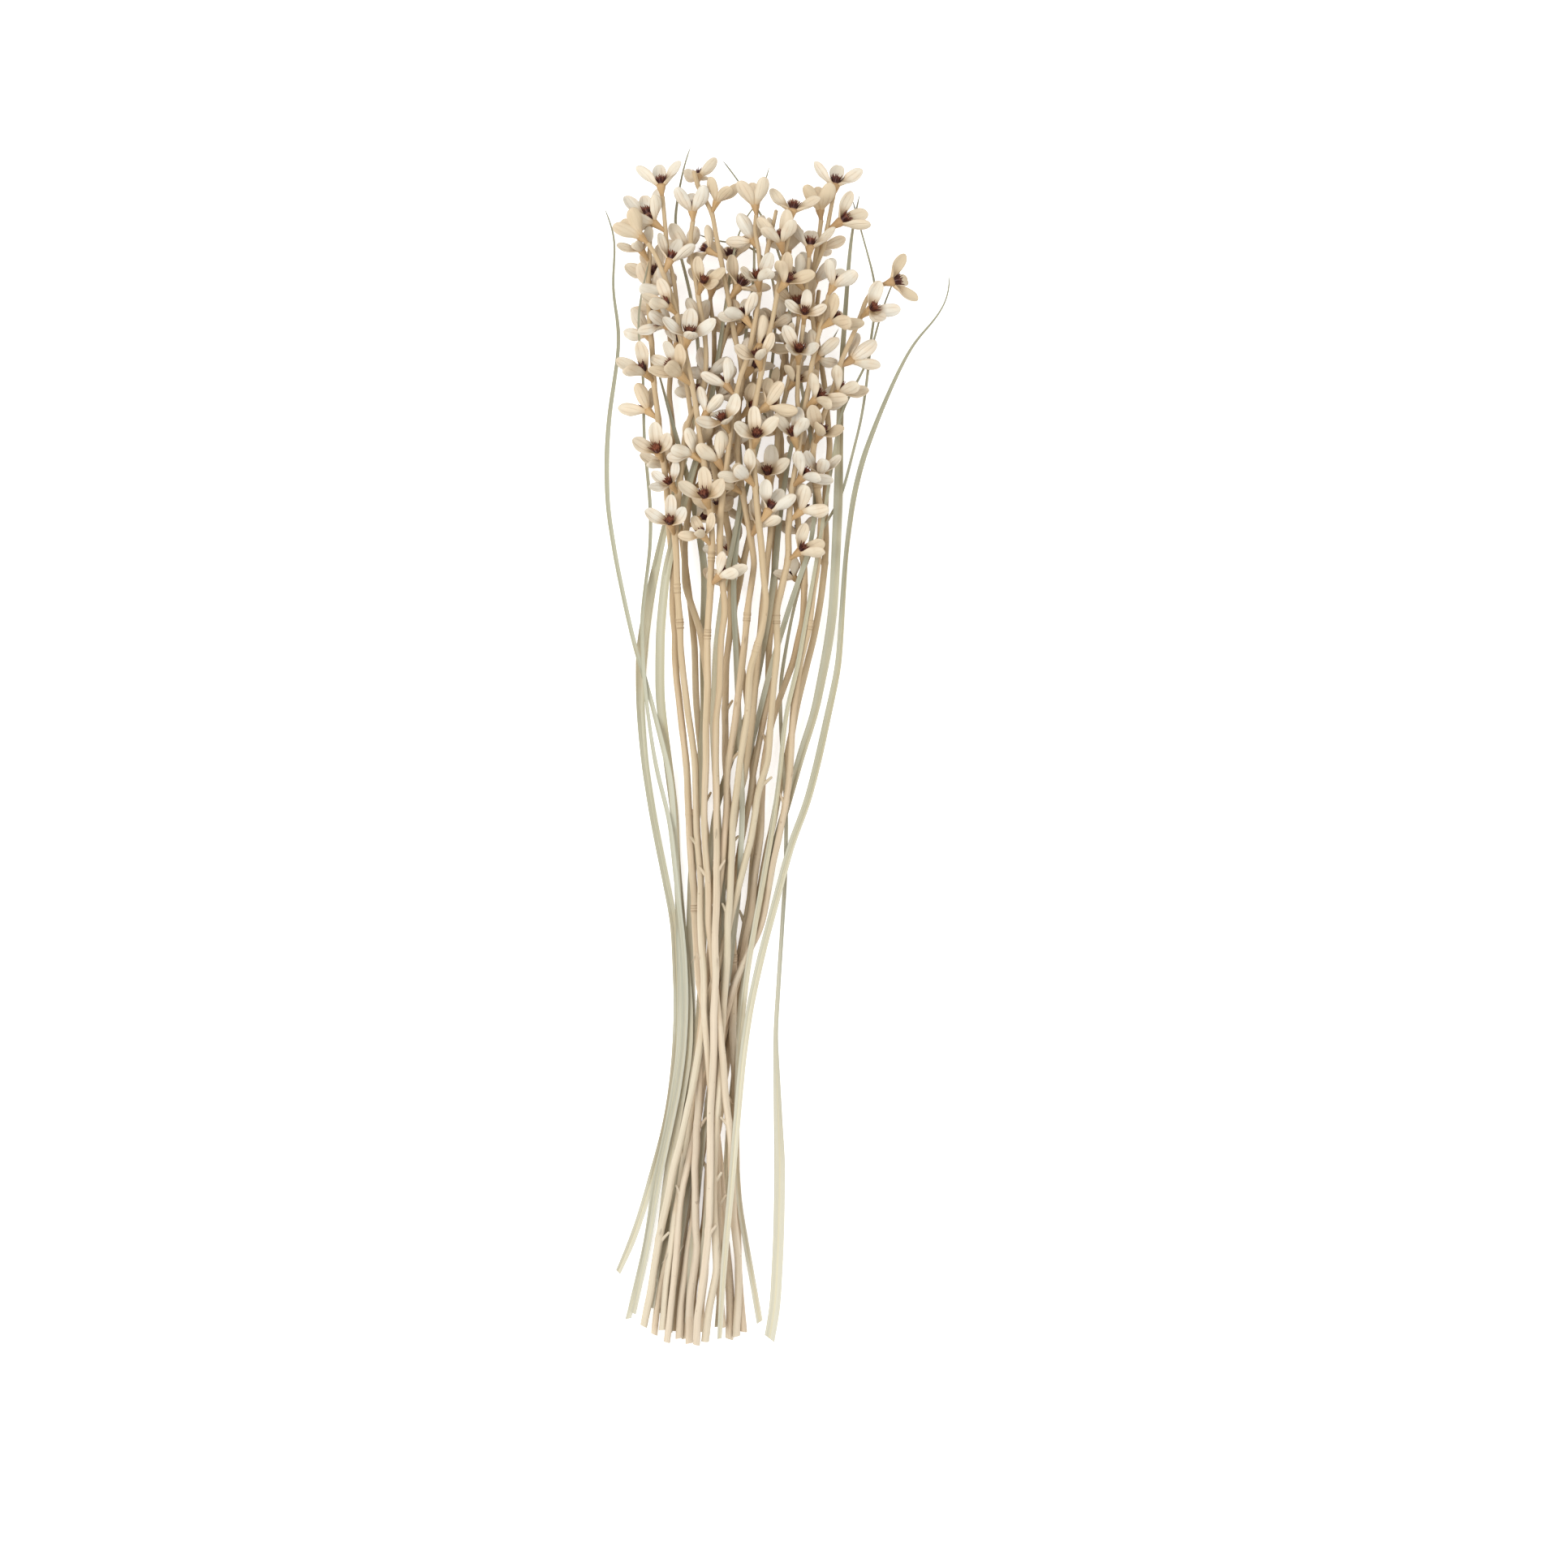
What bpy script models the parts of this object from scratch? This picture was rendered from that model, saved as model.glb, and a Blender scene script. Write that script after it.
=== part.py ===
"""A dried branch bouquet lying on a table: woody canes with open seed capsules, and long grass blades.

Metres, +Z up. The bunch lies along Y with its heads at +Y and its cut feet at -Y.
"""
import math
import random

import bmesh
import bpy
import numpy as np
from mathutils import Vector

# Driving dimensions, in metres. BEND and TWIG_BEND are curvatures, in 1/m, and the slacks are how far
# a straight span may lie from the line it stands for. A rise gives the height along the bunch where
# pieces start to leave the table, and how far on they have left it in full. VALVE_SPREAD is in degrees,
# OPEN_SHARE the share of the capsules that are open on their upper side.
LENGTH = 0.700
GRID = LENGTH / 1491.0
GRID_MID = (958.414, 917.383)
CANE_SIDES = 5
HEAD_RADIUS = 0.00160
TIP_RADIUS = 0.00095
TWIG_RADIUS = 0.0013
BLADE_HALF_THICKNESS = 0.0004
GAP = 0.00040
CANE_SLACK = 0.00052
BLADE_SLACK = 0.00084
CAPSULE_SPACING = 0.0230
STALK_LENGTH = 0.0088
CUP_RADIUS = 0.0020
COLLAR = 0.0010
VALVE_LENGTH = 0.0152
VALVE_HALF_WIDTH = 0.0039
VALVE_HALF_THICKNESS = 0.00055
VALVE_SPREAD = (33.0, 54.0)
OPEN_SHARE = 0.55
TUFT_HEIGHT = 0.0036
CLEARANCE = 0.00070
STEP = 0.0025
CANE_RISE = (-0.16, 0.26)
BLADE_RISE = (0.0, 0.20)
BLADE_LIFT = 0.010
CANE_EASE = 0.010
BLADE_EASE = 0.006
TWIG_EASE = 0.012
CUT_SLANT = 0.3
NODE_HALF = 0.0012
NODE_SWELL = 1.06
SCAR_SWELL = 1.18
BEND = 4.0
TWIG_BEND = 6.0
TRACE_SLACK = 1.6 * GRID
BLADE_TRACE_SLACK = 1.2 * GRID
SEED = 41

# Canes. Each path runs from the cut foot to the tip, on a plan grid whose unit is GRID.
# lift is the height of the head's axis over the table, foot the cane's width at the cut, bare the
# grid row where the capsules start.
CANES = {
    "branch_01": dict(lift=0.030, foot=9.0, bare=645, path=(
        (897, 1659), (897, 1600), (895, 1560), (893, 1520), (887, 1440), (883, 1400), (872, 1300),
        (860, 1200), (853, 1100), (850, 1000), (845, 940), (838, 880), (831, 800), (829, 720),
        (826, 680), (821, 600), (817, 565), (808, 500), (805, 470), (801, 410), (798, 345),
        (801, 300), (801, 278)), forks=()),
    "branch_02": dict(lift=0.037, foot=8.0, bare=670, path=(
        (890, 1643), (884, 1540), (884, 1480), (882, 1400), (872, 1300), (866, 1200), (864, 1140),
        (858, 1000), (855, 940), (850, 880), (840, 800), (834, 720), (831, 660), (840, 590),
        (845, 535), (850, 515), (860, 497), (868, 475), (870, 440), (868, 410), (858, 350),
        (852, 318), (851, 290), (854, 274)),
        forks=(((850, 515), (846, 480), (842, 440), (836, 410), (831, 350), (823, 315), (818, 270),
                (816, 243)),)),
    "branch_03": dict(lift=0.046, foot=8.0, bare=748, path=(
        (907, 1655), (908, 1600), (909, 1560), (906, 1520), (900, 1440), (898, 1400), (888, 1300),
        (878, 1200), (871, 1100), (868, 1000), (869, 890), (872, 820), (875, 745), (878, 660),
        (876, 630), (867, 570), (857, 500), (850, 470), (845, 440), (835, 390), (828, 365),
        (810, 320), (799, 303)), forks=()),
    "branch_04": dict(lift=0.044, foot=8.0, bare=650, path=(
        (857, 1661), (860, 1620), (866, 1580), (874, 1500), (875, 1400), (877, 1300), (880, 1200),
        (884, 1000), (883, 880), (889, 800), (893, 760), (887, 680), (888, 640), (895, 580),
        (901, 520), (906, 490), (912, 465), (922, 440), (928, 410), (934, 380), (938, 345),
        (935, 310), (930, 285), (932, 268)),
        forks=(((938, 345), (947, 310), (950, 285), (956, 262)),)),
    "branch_05": dict(lift=0.024, foot=8.0, bare=655, path=(
        (915, 1650), (913, 1600), (910, 1560), (906, 1500), (904, 1400), (904, 1300), (902, 1200),
        (895, 1000), (893, 880), (896, 830), (900, 750), (901, 670), (888, 610), (878, 570),
        (870, 520), (872, 495), (886, 440), (893, 415), (899, 390), (905, 355), (902, 328)),
        forks=()),
    "branch_06": dict(lift=0.035, foot=9.0, bare=742, path=(
        (848, 1662), (849, 1620), (857, 1540), (856, 1460), (857, 1400), (862, 1300), (870, 1200),
        (882, 1120), (896, 1000), (898, 940), (907, 870), (917, 790), (930, 695), (927, 670),
        (916, 610), (908, 560), (910, 500), (914, 470), (912, 440), (905, 415), (897, 370),
        (893, 340), (881, 290), (877, 262), (865, 240), (859, 229), (855, 211)),
        forks=(), bare_tip=True),
    "branch_07": dict(lift=0.026, foot=7.5, bare=705, path=(
        (814, 1646), (820, 1600), (828, 1530), (832, 1500), (843, 1430), (848, 1400), (861, 1300),
        (872, 1200), (885, 1120), (907, 1000), (918, 960), (925, 900), (931, 820), (934, 790),
        (945, 700), (950, 650), (949, 600), (956, 560), (959, 520), (970, 480), (975, 440),
        (980, 410), (984, 388)), forks=()),
    "branch_08": dict(lift=0.036, foot=8.0, bare=700, path=(
        (791, 1642), (797, 1600), (811, 1530), (818, 1500), (832, 1440), (845, 1380), (860, 1310),
        (880, 1210), (902, 1120), (926, 1030), (936, 980), (944, 940), (950, 880), (958, 800),
        (958, 750), (972, 690), (971, 660), (976, 600), (988, 530), (992, 500), (1000, 450),
        (1012, 400), (1018, 378), (1021, 364)),
        forks=(((988, 530), (982, 490), (983, 450), (990, 400), (994, 345), (997, 318)),)),
    "branch_09": dict(lift=0.027, foot=7.0, bare=640, path=(
        (820, 1661), (823, 1620), (836, 1500), (850, 1420), (866, 1340), (880, 1290), (905, 1210),
        (920, 1180), (935, 1150), (940, 1120), (955, 1060), (968, 1000), (975, 920), (977, 870),
        (988, 810), (1000, 750), (1007, 700), (1012, 630), (1001, 570), (1003, 545), (1018, 500),
        (1028, 475), (1034, 450), (1050, 410), (1060, 390), (1066, 370), (1075, 356), (1087, 349)),
        forks=()),
    "branch_10": dict(lift=0.023, foot=8.0, bare=735, path=(
        (835, 1657), (838, 1620), (845, 1550), (852, 1500), (866, 1400), (884, 1300), (905, 1215),
        (915, 1180), (925, 1130), (937, 1030), (940, 950), (950, 890), (965, 850), (978, 810),
        (988, 760), (991, 700), (981, 620), (985, 585), (999, 530), (1006, 470), (1008, 440),
        (1000, 385), (1003, 330), (1009, 290), (1012, 268)),
        forks=(((1003, 330), (1016, 300), (1022, 270), (1027, 238)),)),
    "branch_11": dict(lift=0.046, foot=8.5, bare=700, path=(
        (868, 1658), (874, 1620), (885, 1565), (881, 1540), (878, 1500), (880, 1400), (889, 1300),
        (894, 1200), (900, 1060), (905, 1000), (917, 910), (927, 820), (938, 780), (944, 740),
        (938, 660), (932, 590), (926, 530), (932, 500), (938, 475), (948, 420), (958, 360),
        (968, 300), (974, 276)), forks=()),
    "branch_12": dict(lift=0.017, foot=7.0, bare=665, path=(
        (804, 1653), (808, 1620), (816, 1580), (828, 1520), (843, 1440), (856, 1370), (869, 1300),
        (893, 1200), (905, 1110), (914, 1040), (930, 940), (939, 890), (946, 850), (948, 800),
        (952, 720), (955, 650), (964, 590), (963, 540), (957, 490), (962, 450), (972, 390),
        (976, 345), (972, 318)), forks=()),
    "branch_13": dict(lift=0.018, foot=6.5, bare=700, path=(
        (829, 1649), (832, 1600), (846, 1480), (857, 1400), (870, 1300), (884, 1200), (890, 1100),
        (881, 1000), (876, 880), (868, 820), (862, 780), (852, 750), (843, 720), (842, 670),
        (852, 600), (862, 545), (872, 490), (880, 445), (880, 400), (875, 365)), forks=()),
    "branch_14": dict(lift=0.014, foot=7.5, bare=745, path=(
        (842, 1658), (844, 1600), (855, 1470), (866, 1400), (886, 1300), (906, 1200), (922, 1110),
        (930, 1020), (928, 940), (923, 880), (908, 790), (905, 750), (915, 690), (928, 630),
        (930, 600), (921, 545), (922, 495), (934, 440), (930, 410), (923, 385)), forks=()),
    "branch_15": dict(lift=0.0115, foot=8.0, bare=640, path=(
        (862, 1650), (864, 1600), (872, 1480), (880, 1400), (894, 1300), (893, 1200), (880, 1100),
        (866, 1000), (858, 880), (854, 800), (846, 740), (838, 660), (828, 610), (827, 560),
        (829, 530), (823, 480), (827, 430), (822, 385), (812, 345)), forks=()),
    "branch_16": dict(lift=0.0115, foot=8.0, bare=600, path=(
        (850, 1648), (853, 1600), (870, 1470), (882, 1400), (898, 1300), (914, 1200), (930, 1130),
        (945, 1040), (958, 980), (980, 880), (1002, 790), (1012, 730), (1019, 660), (1018, 600),
        (1024, 545), (1018, 480), (1011, 430), (1005, 390), (1010, 352)), forks=()),
}

# Grass blades, each a path with a width, all in grid units.
BLADES = {
    "grass_01": (
        (758, 1577, 6), (775, 1540, 8), (789, 1500, 8), (801, 1460, 8), (817, 1400, 8),
        (826, 1350, 8), (831, 1300, 8), (833, 1240, 8), (829, 1140, 8), (818, 1080, 8),
        (803, 1010, 8), (792, 940, 8), (786, 870, 9), (788, 800, 13), (797, 740, 11),
        (810, 680, 9), (824, 620, 6), (842, 570, 5), (856, 510, 4.5), (861, 440, 4), (856, 390, 4),
        (846, 340, 3.5), (832, 290, 3), (829, 262, 3), (838, 210, 2.5), (842, 192, 2), (850, 172, 1.5)),
    "grass_02": (
        (771, 1636, 6), (781, 1600, 8), (795, 1540, 8), (806, 1460, 8), (820, 1400, 8),
        (829, 1350, 8), (836, 1300, 8), (838, 1240, 8), (834, 1110, 7), (829, 1010, 7),
        (826, 960, 6), (815, 920, 6), (798, 850, 5), (782, 800, 5), (770, 750, 5), (757, 690, 5),
        (746, 620, 5), (745, 560, 5.5), (748, 510, 5), (753, 470, 4), (760, 430, 4), (761, 400, 4),
        (752, 350, 3), (754, 315, 3), (757, 285, 2.5), (748, 262, 2), (743, 250, 1.5)),
    "grass_03": (
        (778, 1628, 5), (785, 1590, 6), (797, 1540, 6), (810, 1460, 6), (824, 1400, 6),
        (834, 1350, 6), (841, 1300, 6), (844, 1240, 6), (842, 1180, 6), (832, 1080, 5),
        (824, 1010, 5), (808, 950, 5), (800, 900, 4), (792, 830, 4), (789, 760, 4), (800, 670, 4),
        (800, 620, 4), (792, 540, 3.5), (792, 460, 3), (785, 400, 2.5), (788, 370, 2.5),
        (793, 345, 2), (799, 322, 1.5)),
    "grass_04": (
        (800, 1620, 7), (808, 1560, 9), (815, 1500, 10), (826, 1420, 10), (840, 1350, 9),
        (848, 1300, 8), (848, 1240, 8), (843, 1180, 8), (831, 1060, 9), (830, 1010, 9),
        (822, 940, 9), (812, 860, 10), (813, 780, 10), (821, 700, 9), (833, 650, 8), (850, 590, 7),
        (872, 520, 6), (882, 460, 5), (890, 400, 4), (898, 340, 3), (905, 300, 2.5), (913, 275, 2),
        (923, 255, 2), (937, 243, 1.5)),
    "grass_05": (
        (808, 1630, 8), (815, 1570, 10), (822, 1500, 11), (832, 1420, 11), (843, 1350, 10),
        (851, 1300, 8), (851, 1240, 8), (848, 1180, 9), (851, 1080, 9), (862, 940, 9),
        (867, 880, 8), (865, 800, 8), (868, 700, 8), (858, 640, 7), (845, 580, 6), (832, 535, 5),
        (822, 498, 4), (815, 470, 3), (806, 440, 2)),
    "grass_06": (
        (818, 1618, 7), (824, 1560, 8), (832, 1480, 9), (850, 1350, 8), (857, 1300, 7),
        (861, 1240, 7), (868, 1120, 7), (880, 1000, 7), (905, 920, 7), (928, 860, 7), (947, 760, 7),
        (955, 700, 7), (960, 640, 6), (972, 560, 5), (988, 490, 4), (1006, 450, 4), (1024, 420, 3),
        (1034, 400, 2)),
    "grass_07": (
        (882, 1645, 5), (886, 1600, 6), (890, 1500, 7), (897, 1400, 7), (906, 1300, 7),
        (915, 1220, 7), (930, 1140, 7), (950, 1060, 8), (972, 980, 8), (990, 920, 9), (1004, 880, 9),
        (1020, 800, 10), (1027, 750, 10), (1031, 680, 12), (1034, 600, 10), (1036, 520, 7),
        (1037, 450, 6), (1041, 400, 6), (1046, 340, 6), (1048, 300, 4), (1052, 270, 3),
        (1060, 233, 1.5)),
    "grass_08": (
        (886, 1654, 5), (892, 1560, 7), (900, 1470, 8), (908, 1380, 8), (915, 1300, 8),
        (924, 1240, 8), (940, 1170, 8), (958, 1100, 8), (975, 1040, 8), (995, 990, 8),
        (1010, 930, 8), (1020, 885, 8), (1034, 820, 7), (1040, 740, 6), (1043, 680, 5),
        (1052, 610, 6), (1064, 560, 6), (1085, 505, 5), (1108, 453, 4), (1130, 412, 3),
        (1150, 394, 2.5), (1166, 372, 2), (1174, 350, 1.5), (1172, 332, 1.5)),
    "grass_09": (
        (947, 1662, 12), (955, 1620, 12), (959, 1540, 12), (961, 1440, 12), (960, 1390, 12),
        (956, 1310, 7), (955, 1280, 5), (958, 1240, 4), (962, 1160, 4), (968, 1080, 4),
        (969, 1000, 4), (962, 900, 4), (961, 840, 4), (975, 760, 3.5), (993, 690, 3.5),
        (1018, 640, 3), (1036, 615, 3), (1045, 580, 3), (1063, 510, 3), (1071, 450, 3),
        (1074, 410, 3), (1082, 365, 2.5), (1079, 338, 2.5), (1063, 285, 2), (1051, 238, 1.5)),
    "grass_10": (
        (936, 1640, 7), (928, 1600, 7), (921, 1560, 6), (910, 1490, 6), (906, 1420, 6),
        (909, 1300, 6), (920, 1200, 6), (935, 1110, 6), (950, 1030, 6), (960, 960, 5),
        (968, 880, 5), (983, 820, 5), (995, 750, 4), (1008, 680, 4), (1020, 600, 4), (1028, 550, 3.5),
        (1036, 505, 3), (1060, 460, 2.5), (1071, 440, 2.5), (1078, 415, 2.5), (1089, 372, 2),
        (1098, 348, 2), (1109, 324, 1.5)),
    "grass_11": (
        (824, 1650, 5), (830, 1580, 6), (842, 1500, 7), (856, 1400, 7), (872, 1300, 6),
        (880, 1200, 6), (890, 1100, 6), (905, 1000, 6), (935, 880, 6), (950, 820, 6), (975, 740, 6),
        (1000, 670, 5), (1005, 620, 5), (1003, 560, 4), (992, 500, 4), (978, 420, 3.5),
        (972, 370, 3), (966, 325, 3), (946, 270, 2.5), (922, 236, 2.5), (911, 217, 2), (889, 189, 1.5)),
    "grass_12": (
        (845, 1640, 5), (850, 1560, 6), (858, 1480, 6), (866, 1400, 6), (880, 1300, 6),
        (898, 1200, 6), (910, 1100, 6), (915, 1000, 6), (908, 850, 6), (903, 720, 6), (910, 640, 5),
        (925, 580, 4), (940, 520, 4), (952, 440, 3.5), (957, 370, 3), (950, 322, 3), (935, 301, 2.5),
        (915, 292, 2), (880, 292, 2), (857, 281, 1.5)),
    "grass_13": (
        (860, 1630, 5), (866, 1540, 6), (874, 1450, 6), (884, 1350, 6), (890, 1250, 6),
        (893, 1150, 6), (886, 1030, 6), (877, 900, 6), (881, 800, 6), (890, 730, 6), (905, 660, 5),
        (915, 600, 5), (910, 540, 4), (910, 480, 4), (918, 410, 3.5), (930, 330, 3), (928, 285, 2.5),
        (931, 258, 2.5), (938, 235, 2), (948, 198, 1.5)),
}

# How the pieces were laid on the table, lowest first.
ORDER = (
    "branch_15", "branch_16", "grass_09", "grass_05", "branch_14", "grass_07", "branch_13",
    "branch_12", "grass_06", "branch_10", "grass_01", "branch_05", "grass_11", "branch_07",
    "branch_09", "grass_12", "branch_01", "grass_13", "grass_04", "branch_06", "branch_08",
    "grass_10", "branch_02", "grass_02", "branch_11", "branch_03", "grass_08", "branch_04",
    "grass_03",
)


def plan(point):
    """A grid point in metres."""
    return ((point[0] - GRID_MID[0]) * GRID, (GRID_MID[1] - point[1]) * GRID)


def straighten(points, slack):
    """The corners of a traced line that matter, by distance from the chord."""
    if len(points) < 3:
        return list(points)
    a, b = np.array(points[0][:2]), np.array(points[-1][:2])
    along = (b - a) / max(np.linalg.norm(b - a), 1e-9)
    off = [abs(float(np.cross(along, np.array(p[:2]) - a))) for p in points]
    k = int(np.argmax(off))
    if off[k] < slack:
        return [points[0], points[-1]]
    return straighten(points[:k + 1], slack)[:-1] + straighten(points[k:], slack)


def smoothstep(x):
    x = min(max(x, 0.0), 1.0)
    return x * x * (3.0 - 2.0 * x)


class Rod:
    """A cane, twig or blade: a plan line with corners, a half width, a radius and a height."""

    def __init__(self, name, corners, kind, parent=None):
        self.name, self.kind, self.parent = name, kind, parent
        line = np.array([c[:2] for c in corners])
        legs = np.linalg.norm(np.diff(line, axis=0), axis=1)
        self.corners = np.concatenate([[0.0], np.cumsum(legs)])
        self.length = float(self.corners[-1])
        count = int(math.ceil(self.length / STEP)) + 1
        self.s = np.linspace(0.0, self.length, count)
        self.xy = np.stack([np.interp(self.s, self.corners, line[:, k]) for k in (0, 1)], axis=1)
        self.flat = np.zeros(count)
        self.radius = np.zeros(count)
        self.z = np.zeros(count)
        self.capsules, self.stubs = [], []

    def read(self, values, s):
        return float(np.interp(s, self.s, values))

    def point(self, s):
        return Vector((self.read(self.xy[:, 0], s), self.read(self.xy[:, 1], s), self.read(self.z, s)))

    def heading(self, s):
        a = max(0.0, s - 0.003)
        b = min(self.length, s + 0.003)
        return (self.point(b) - self.point(a)).normalized()

    def at_row(self, row):
        """Distance along the rod where it first reaches a grid row."""
        y = (GRID_MID[1] - row) * GRID
        above = np.nonzero(self.xy[:, 1] >= y)[0]
        return float(self.s[above[0]]) if len(above) else self.length


def half_height(sides):
    """Height of the axis over a flat side, per unit of radius."""
    return math.cos(math.pi / sides)


def settle(rod, floor, laid, bend):
    """Rest a rod on all that lies under it: it bridges between supports with a limited bend."""
    low = np.array(floor, dtype=float)
    for other in laid:
        d = np.linalg.norm(rod.xy[:, None, :] - other.xy[None, :, :], axis=2)
        d = np.maximum(0.0, d - rod.flat[:, None] - other.flat[None, :])
        reach = rod.radius[:, None] + other.radius[None, :] + GAP
        lift = np.where(d < reach, other.z[None, :] + np.sqrt(np.maximum(reach ** 2 - d ** 2, 0.0)), -1.0)
        low = np.maximum(low, lift.max(axis=1))
    gap = rod.s[:, None] - rod.s[None, :]
    arch = np.max(low[None, :] - 0.5 * bend * gap ** 2, axis=1)
    width = BLADE_EASE if rod.kind == "blade" else CANE_EASE
    weight = np.exp(-0.5 * (gap / width) ** 2)
    soft = (weight @ arch) / weight.sum(axis=1)
    rod.z = np.maximum(soft, low)


def lay_bunch():
    """All rods, in the order they were laid."""
    laid = []
    rods = []
    for name in ORDER:
        if name in CANES:
            rods += lay_cane(name, laid)
        else:
            rods.append(lay_blade(name, laid))
    return rods


def lay_cane(name, laid):
    spec = CANES[name]
    corners = straighten([plan(p) for p in spec["path"]], TRACE_SLACK)
    cane = Rod(name, corners, "cane")
    head = cane.at_row(spec["bare"])
    foot_radius = 0.5 * spec["foot"] * GRID
    cane.radius = np.interp(cane.s, [0.0, head, cane.length], [foot_radius, HEAD_RADIUS, TIP_RADIUS])
    base = half_height(CANE_SIDES)
    rise = np.array([smoothstep((y - CANE_RISE[0]) / CANE_RISE[1]) for y in cane.xy[:, 1]])
    floor = cane.radius * base + np.maximum(0.0, spec["lift"] - cane.radius * base) * rise
    settle(cane, floor, laid, BEND)
    rods = [cane]
    cane.head = head
    cane.bare_tip = spec.get("bare_tip", False)
    for path in spec["forks"]:
        line = straighten([plan(p) for p in path], TRACE_SLACK)
        near = int(np.argmin(np.linalg.norm(cane.xy - np.array(line[0]), axis=1)))
        line[0] = tuple(cane.xy[near])
        twig = Rod(name, line, "twig", (cane, float(cane.s[near])))
        twig.radius = np.interp(twig.s, [0.0, twig.length], [TWIG_RADIUS, TIP_RADIUS])
        floor = np.full(len(twig.s), cane.z[near])
        settle(twig, floor, laid, TWIG_BEND)
        twig.z = cane.z[near] + (twig.z - cane.z[near]) * np.clip(twig.s / TWIG_EASE, 0.0, 1.0)
        twig.head = 0.016
        twig.bare_tip = False
        rods.append(twig)
    laid.extend(rods)
    return rods


def lay_blade(name, laid):
    corners = straighten([plan(p) + (p[2],) for p in BLADES[name]], BLADE_TRACE_SLACK)
    blade = Rod(name, corners, "blade")
    width = np.interp(blade.s, blade.corners, [c[2] * GRID for c in corners])
    blade.radius = np.full(len(blade.s), BLADE_HALF_THICKNESS + 0.0003)
    blade.width = np.maximum(width, 0.0009)
    blade.flat = np.maximum(0.0, 0.5 * blade.width - BLADE_HALF_THICKNESS)
    rise = np.array([smoothstep((y - BLADE_RISE[0]) / BLADE_RISE[1]) for y in blade.xy[:, 1]])
    floor = BLADE_HALF_THICKNESS + BLADE_LIFT * rise
    settle(blade, floor, laid, BEND)
    laid.append(blade)
    return blade


class Cloud:
    """Balls that fill the pieces, to keep new capsules clear of them."""

    def __init__(self):
        self.centre, self.radius, self.owner = np.zeros((0, 3)), np.zeros(0), np.zeros(0, dtype=int)

    def add(self, centres, radii, owner):
        self.centre = np.vstack([self.centre, centres])
        self.radius = np.concatenate([self.radius, radii])
        self.owner = np.concatenate([self.owner, np.full(len(radii), owner)])

    def near(self, point, reach):
        keep = np.linalg.norm(self.centre - np.array(point), axis=1) < reach
        return self.centre[keep], self.radius[keep], self.owner[keep]


def rod_balls(rod):
    centres, radii = [], []
    for s in np.arange(0.0, rod.length, 0.0015):
        c, r, w = rod.point(s), rod.read(rod.radius, s), rod.read(rod.flat, s)
        ways = max(1, int(math.ceil(w / 0.0008)))
        side = Vector((rod.heading(s).y, -rod.heading(s).x, 0.0)).normalized()
        for k in range(-ways, ways + 1) if w > 0.0 else (0,):
            centres.append(c + side * (w * k / ways))
            radii.append(r)
    return np.array(centres), np.array(radii)


def frame_of(axis, hint):
    """Two unit vectors across an axis, right-handed with it."""
    p = (hint - axis * hint.dot(axis)).normalized()
    return p, axis.cross(p)


class Capsule:
    """A stalk that widens to a cup, thick valves spread round its rim, and a tuft between them."""

    def __init__(self, root, axis, hint, spin, sides, valves, size, spread, length):
        self.root, self.axis, self.sides, self.size = root, axis.normalized(), sides, size
        self.valves, self.spread, self.spin = valves, spread, spin
        stalk = STALK_LENGTH * length
        self.cup = root + self.axis * stalk
        self.p, self.q = frame_of(self.axis, hint)

    def way(self, angle):
        return self.p * math.cos(angle) + self.q * math.sin(angle)

    def corner_angle(self, k):
        return self.spin + math.tau * k / self.sides

    def drop_one(self, upper):
        """Most capsules have three valves: none on the side turned most up or most to the table."""
        out = [self.way(self.corner_angle(k) + math.pi / 4).z for k in range(4)]
        gone = min(range(4), key=lambda k: round(-out[k] if upper else out[k], 6))
        self.valves = tuple(k for k in range(4) if k != gone)

    def section(self, centre, radius):
        return [centre + self.way(self.corner_angle(k)) * radius for k in range(self.sides)]

    def valve(self, k):
        """Foot, middle and end of a valve, with its side and inner directions."""
        out = self.way(self.corner_angle(k) + math.pi / self.sides)
        rim = CUP_RADIUS * self.size * half_height(self.sides) * 1.3
        foot = self.cup + self.axis * (0.5 * COLLAR) + out * rim
        a, b = self.spread[k] * 1.12, self.spread[k] * 0.80
        reach = VALVE_LENGTH * self.size * 0.5
        way_a = self.axis * math.cos(a) + out * math.sin(a)
        way_b = self.axis * math.cos(b) + out * math.sin(b)
        middle = foot + way_a * reach
        end = middle + way_b * reach
        side = self.axis.cross(out).normalized()
        inner_a = way_a.cross(side).normalized()
        inner_b = way_b.cross(side).normalized()
        if inner_a.dot(out) > 0:
            inner_a, inner_b = -inner_a, -inner_b
        return foot, middle, end, side, inner_a, inner_b

    def balls(self):
        centres = [self.root.lerp(self.cup, u) for u in (0.25, 0.5, 0.75, 1.0)]
        centres += [self.cup + self.axis * 0.0020, self.cup + self.axis * 0.0034]
        radii = [0.0012, 0.0014, 0.0017, 0.0020 * self.size, 0.0017 * self.size, 0.0010 * self.size]
        for k in self.valves:
            foot, middle, end, side, _, _ = self.valve(k)
            for centre, share in ((foot.lerp(middle, 0.5), 0.73), (middle, 0.97),
                                  (middle.lerp(end, 0.55), 0.79), (end, 0.55)):
                for sign in (-1.0, 0.0, 1.0):
                    half = VALVE_HALF_WIDTH * share - 0.0009
                    centres.append(centre + side * (sign * half * self.size))
                    radii.append(0.00105 * self.size)
        return np.array(centres), np.array(radii)


def clear_of(capsule, centre, radius):
    """Smallest distance from a capsule to the pieces near it and to the table."""
    c, r = capsule.balls()
    table = float(np.min(c[:, 2] - r))
    if not len(radius):
        return table
    d = np.linalg.norm(c[:, None, :] - centre[None, :, :], axis=2) - r[:, None] - radius[None, :]
    return min(float(d.min()), table)


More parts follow.
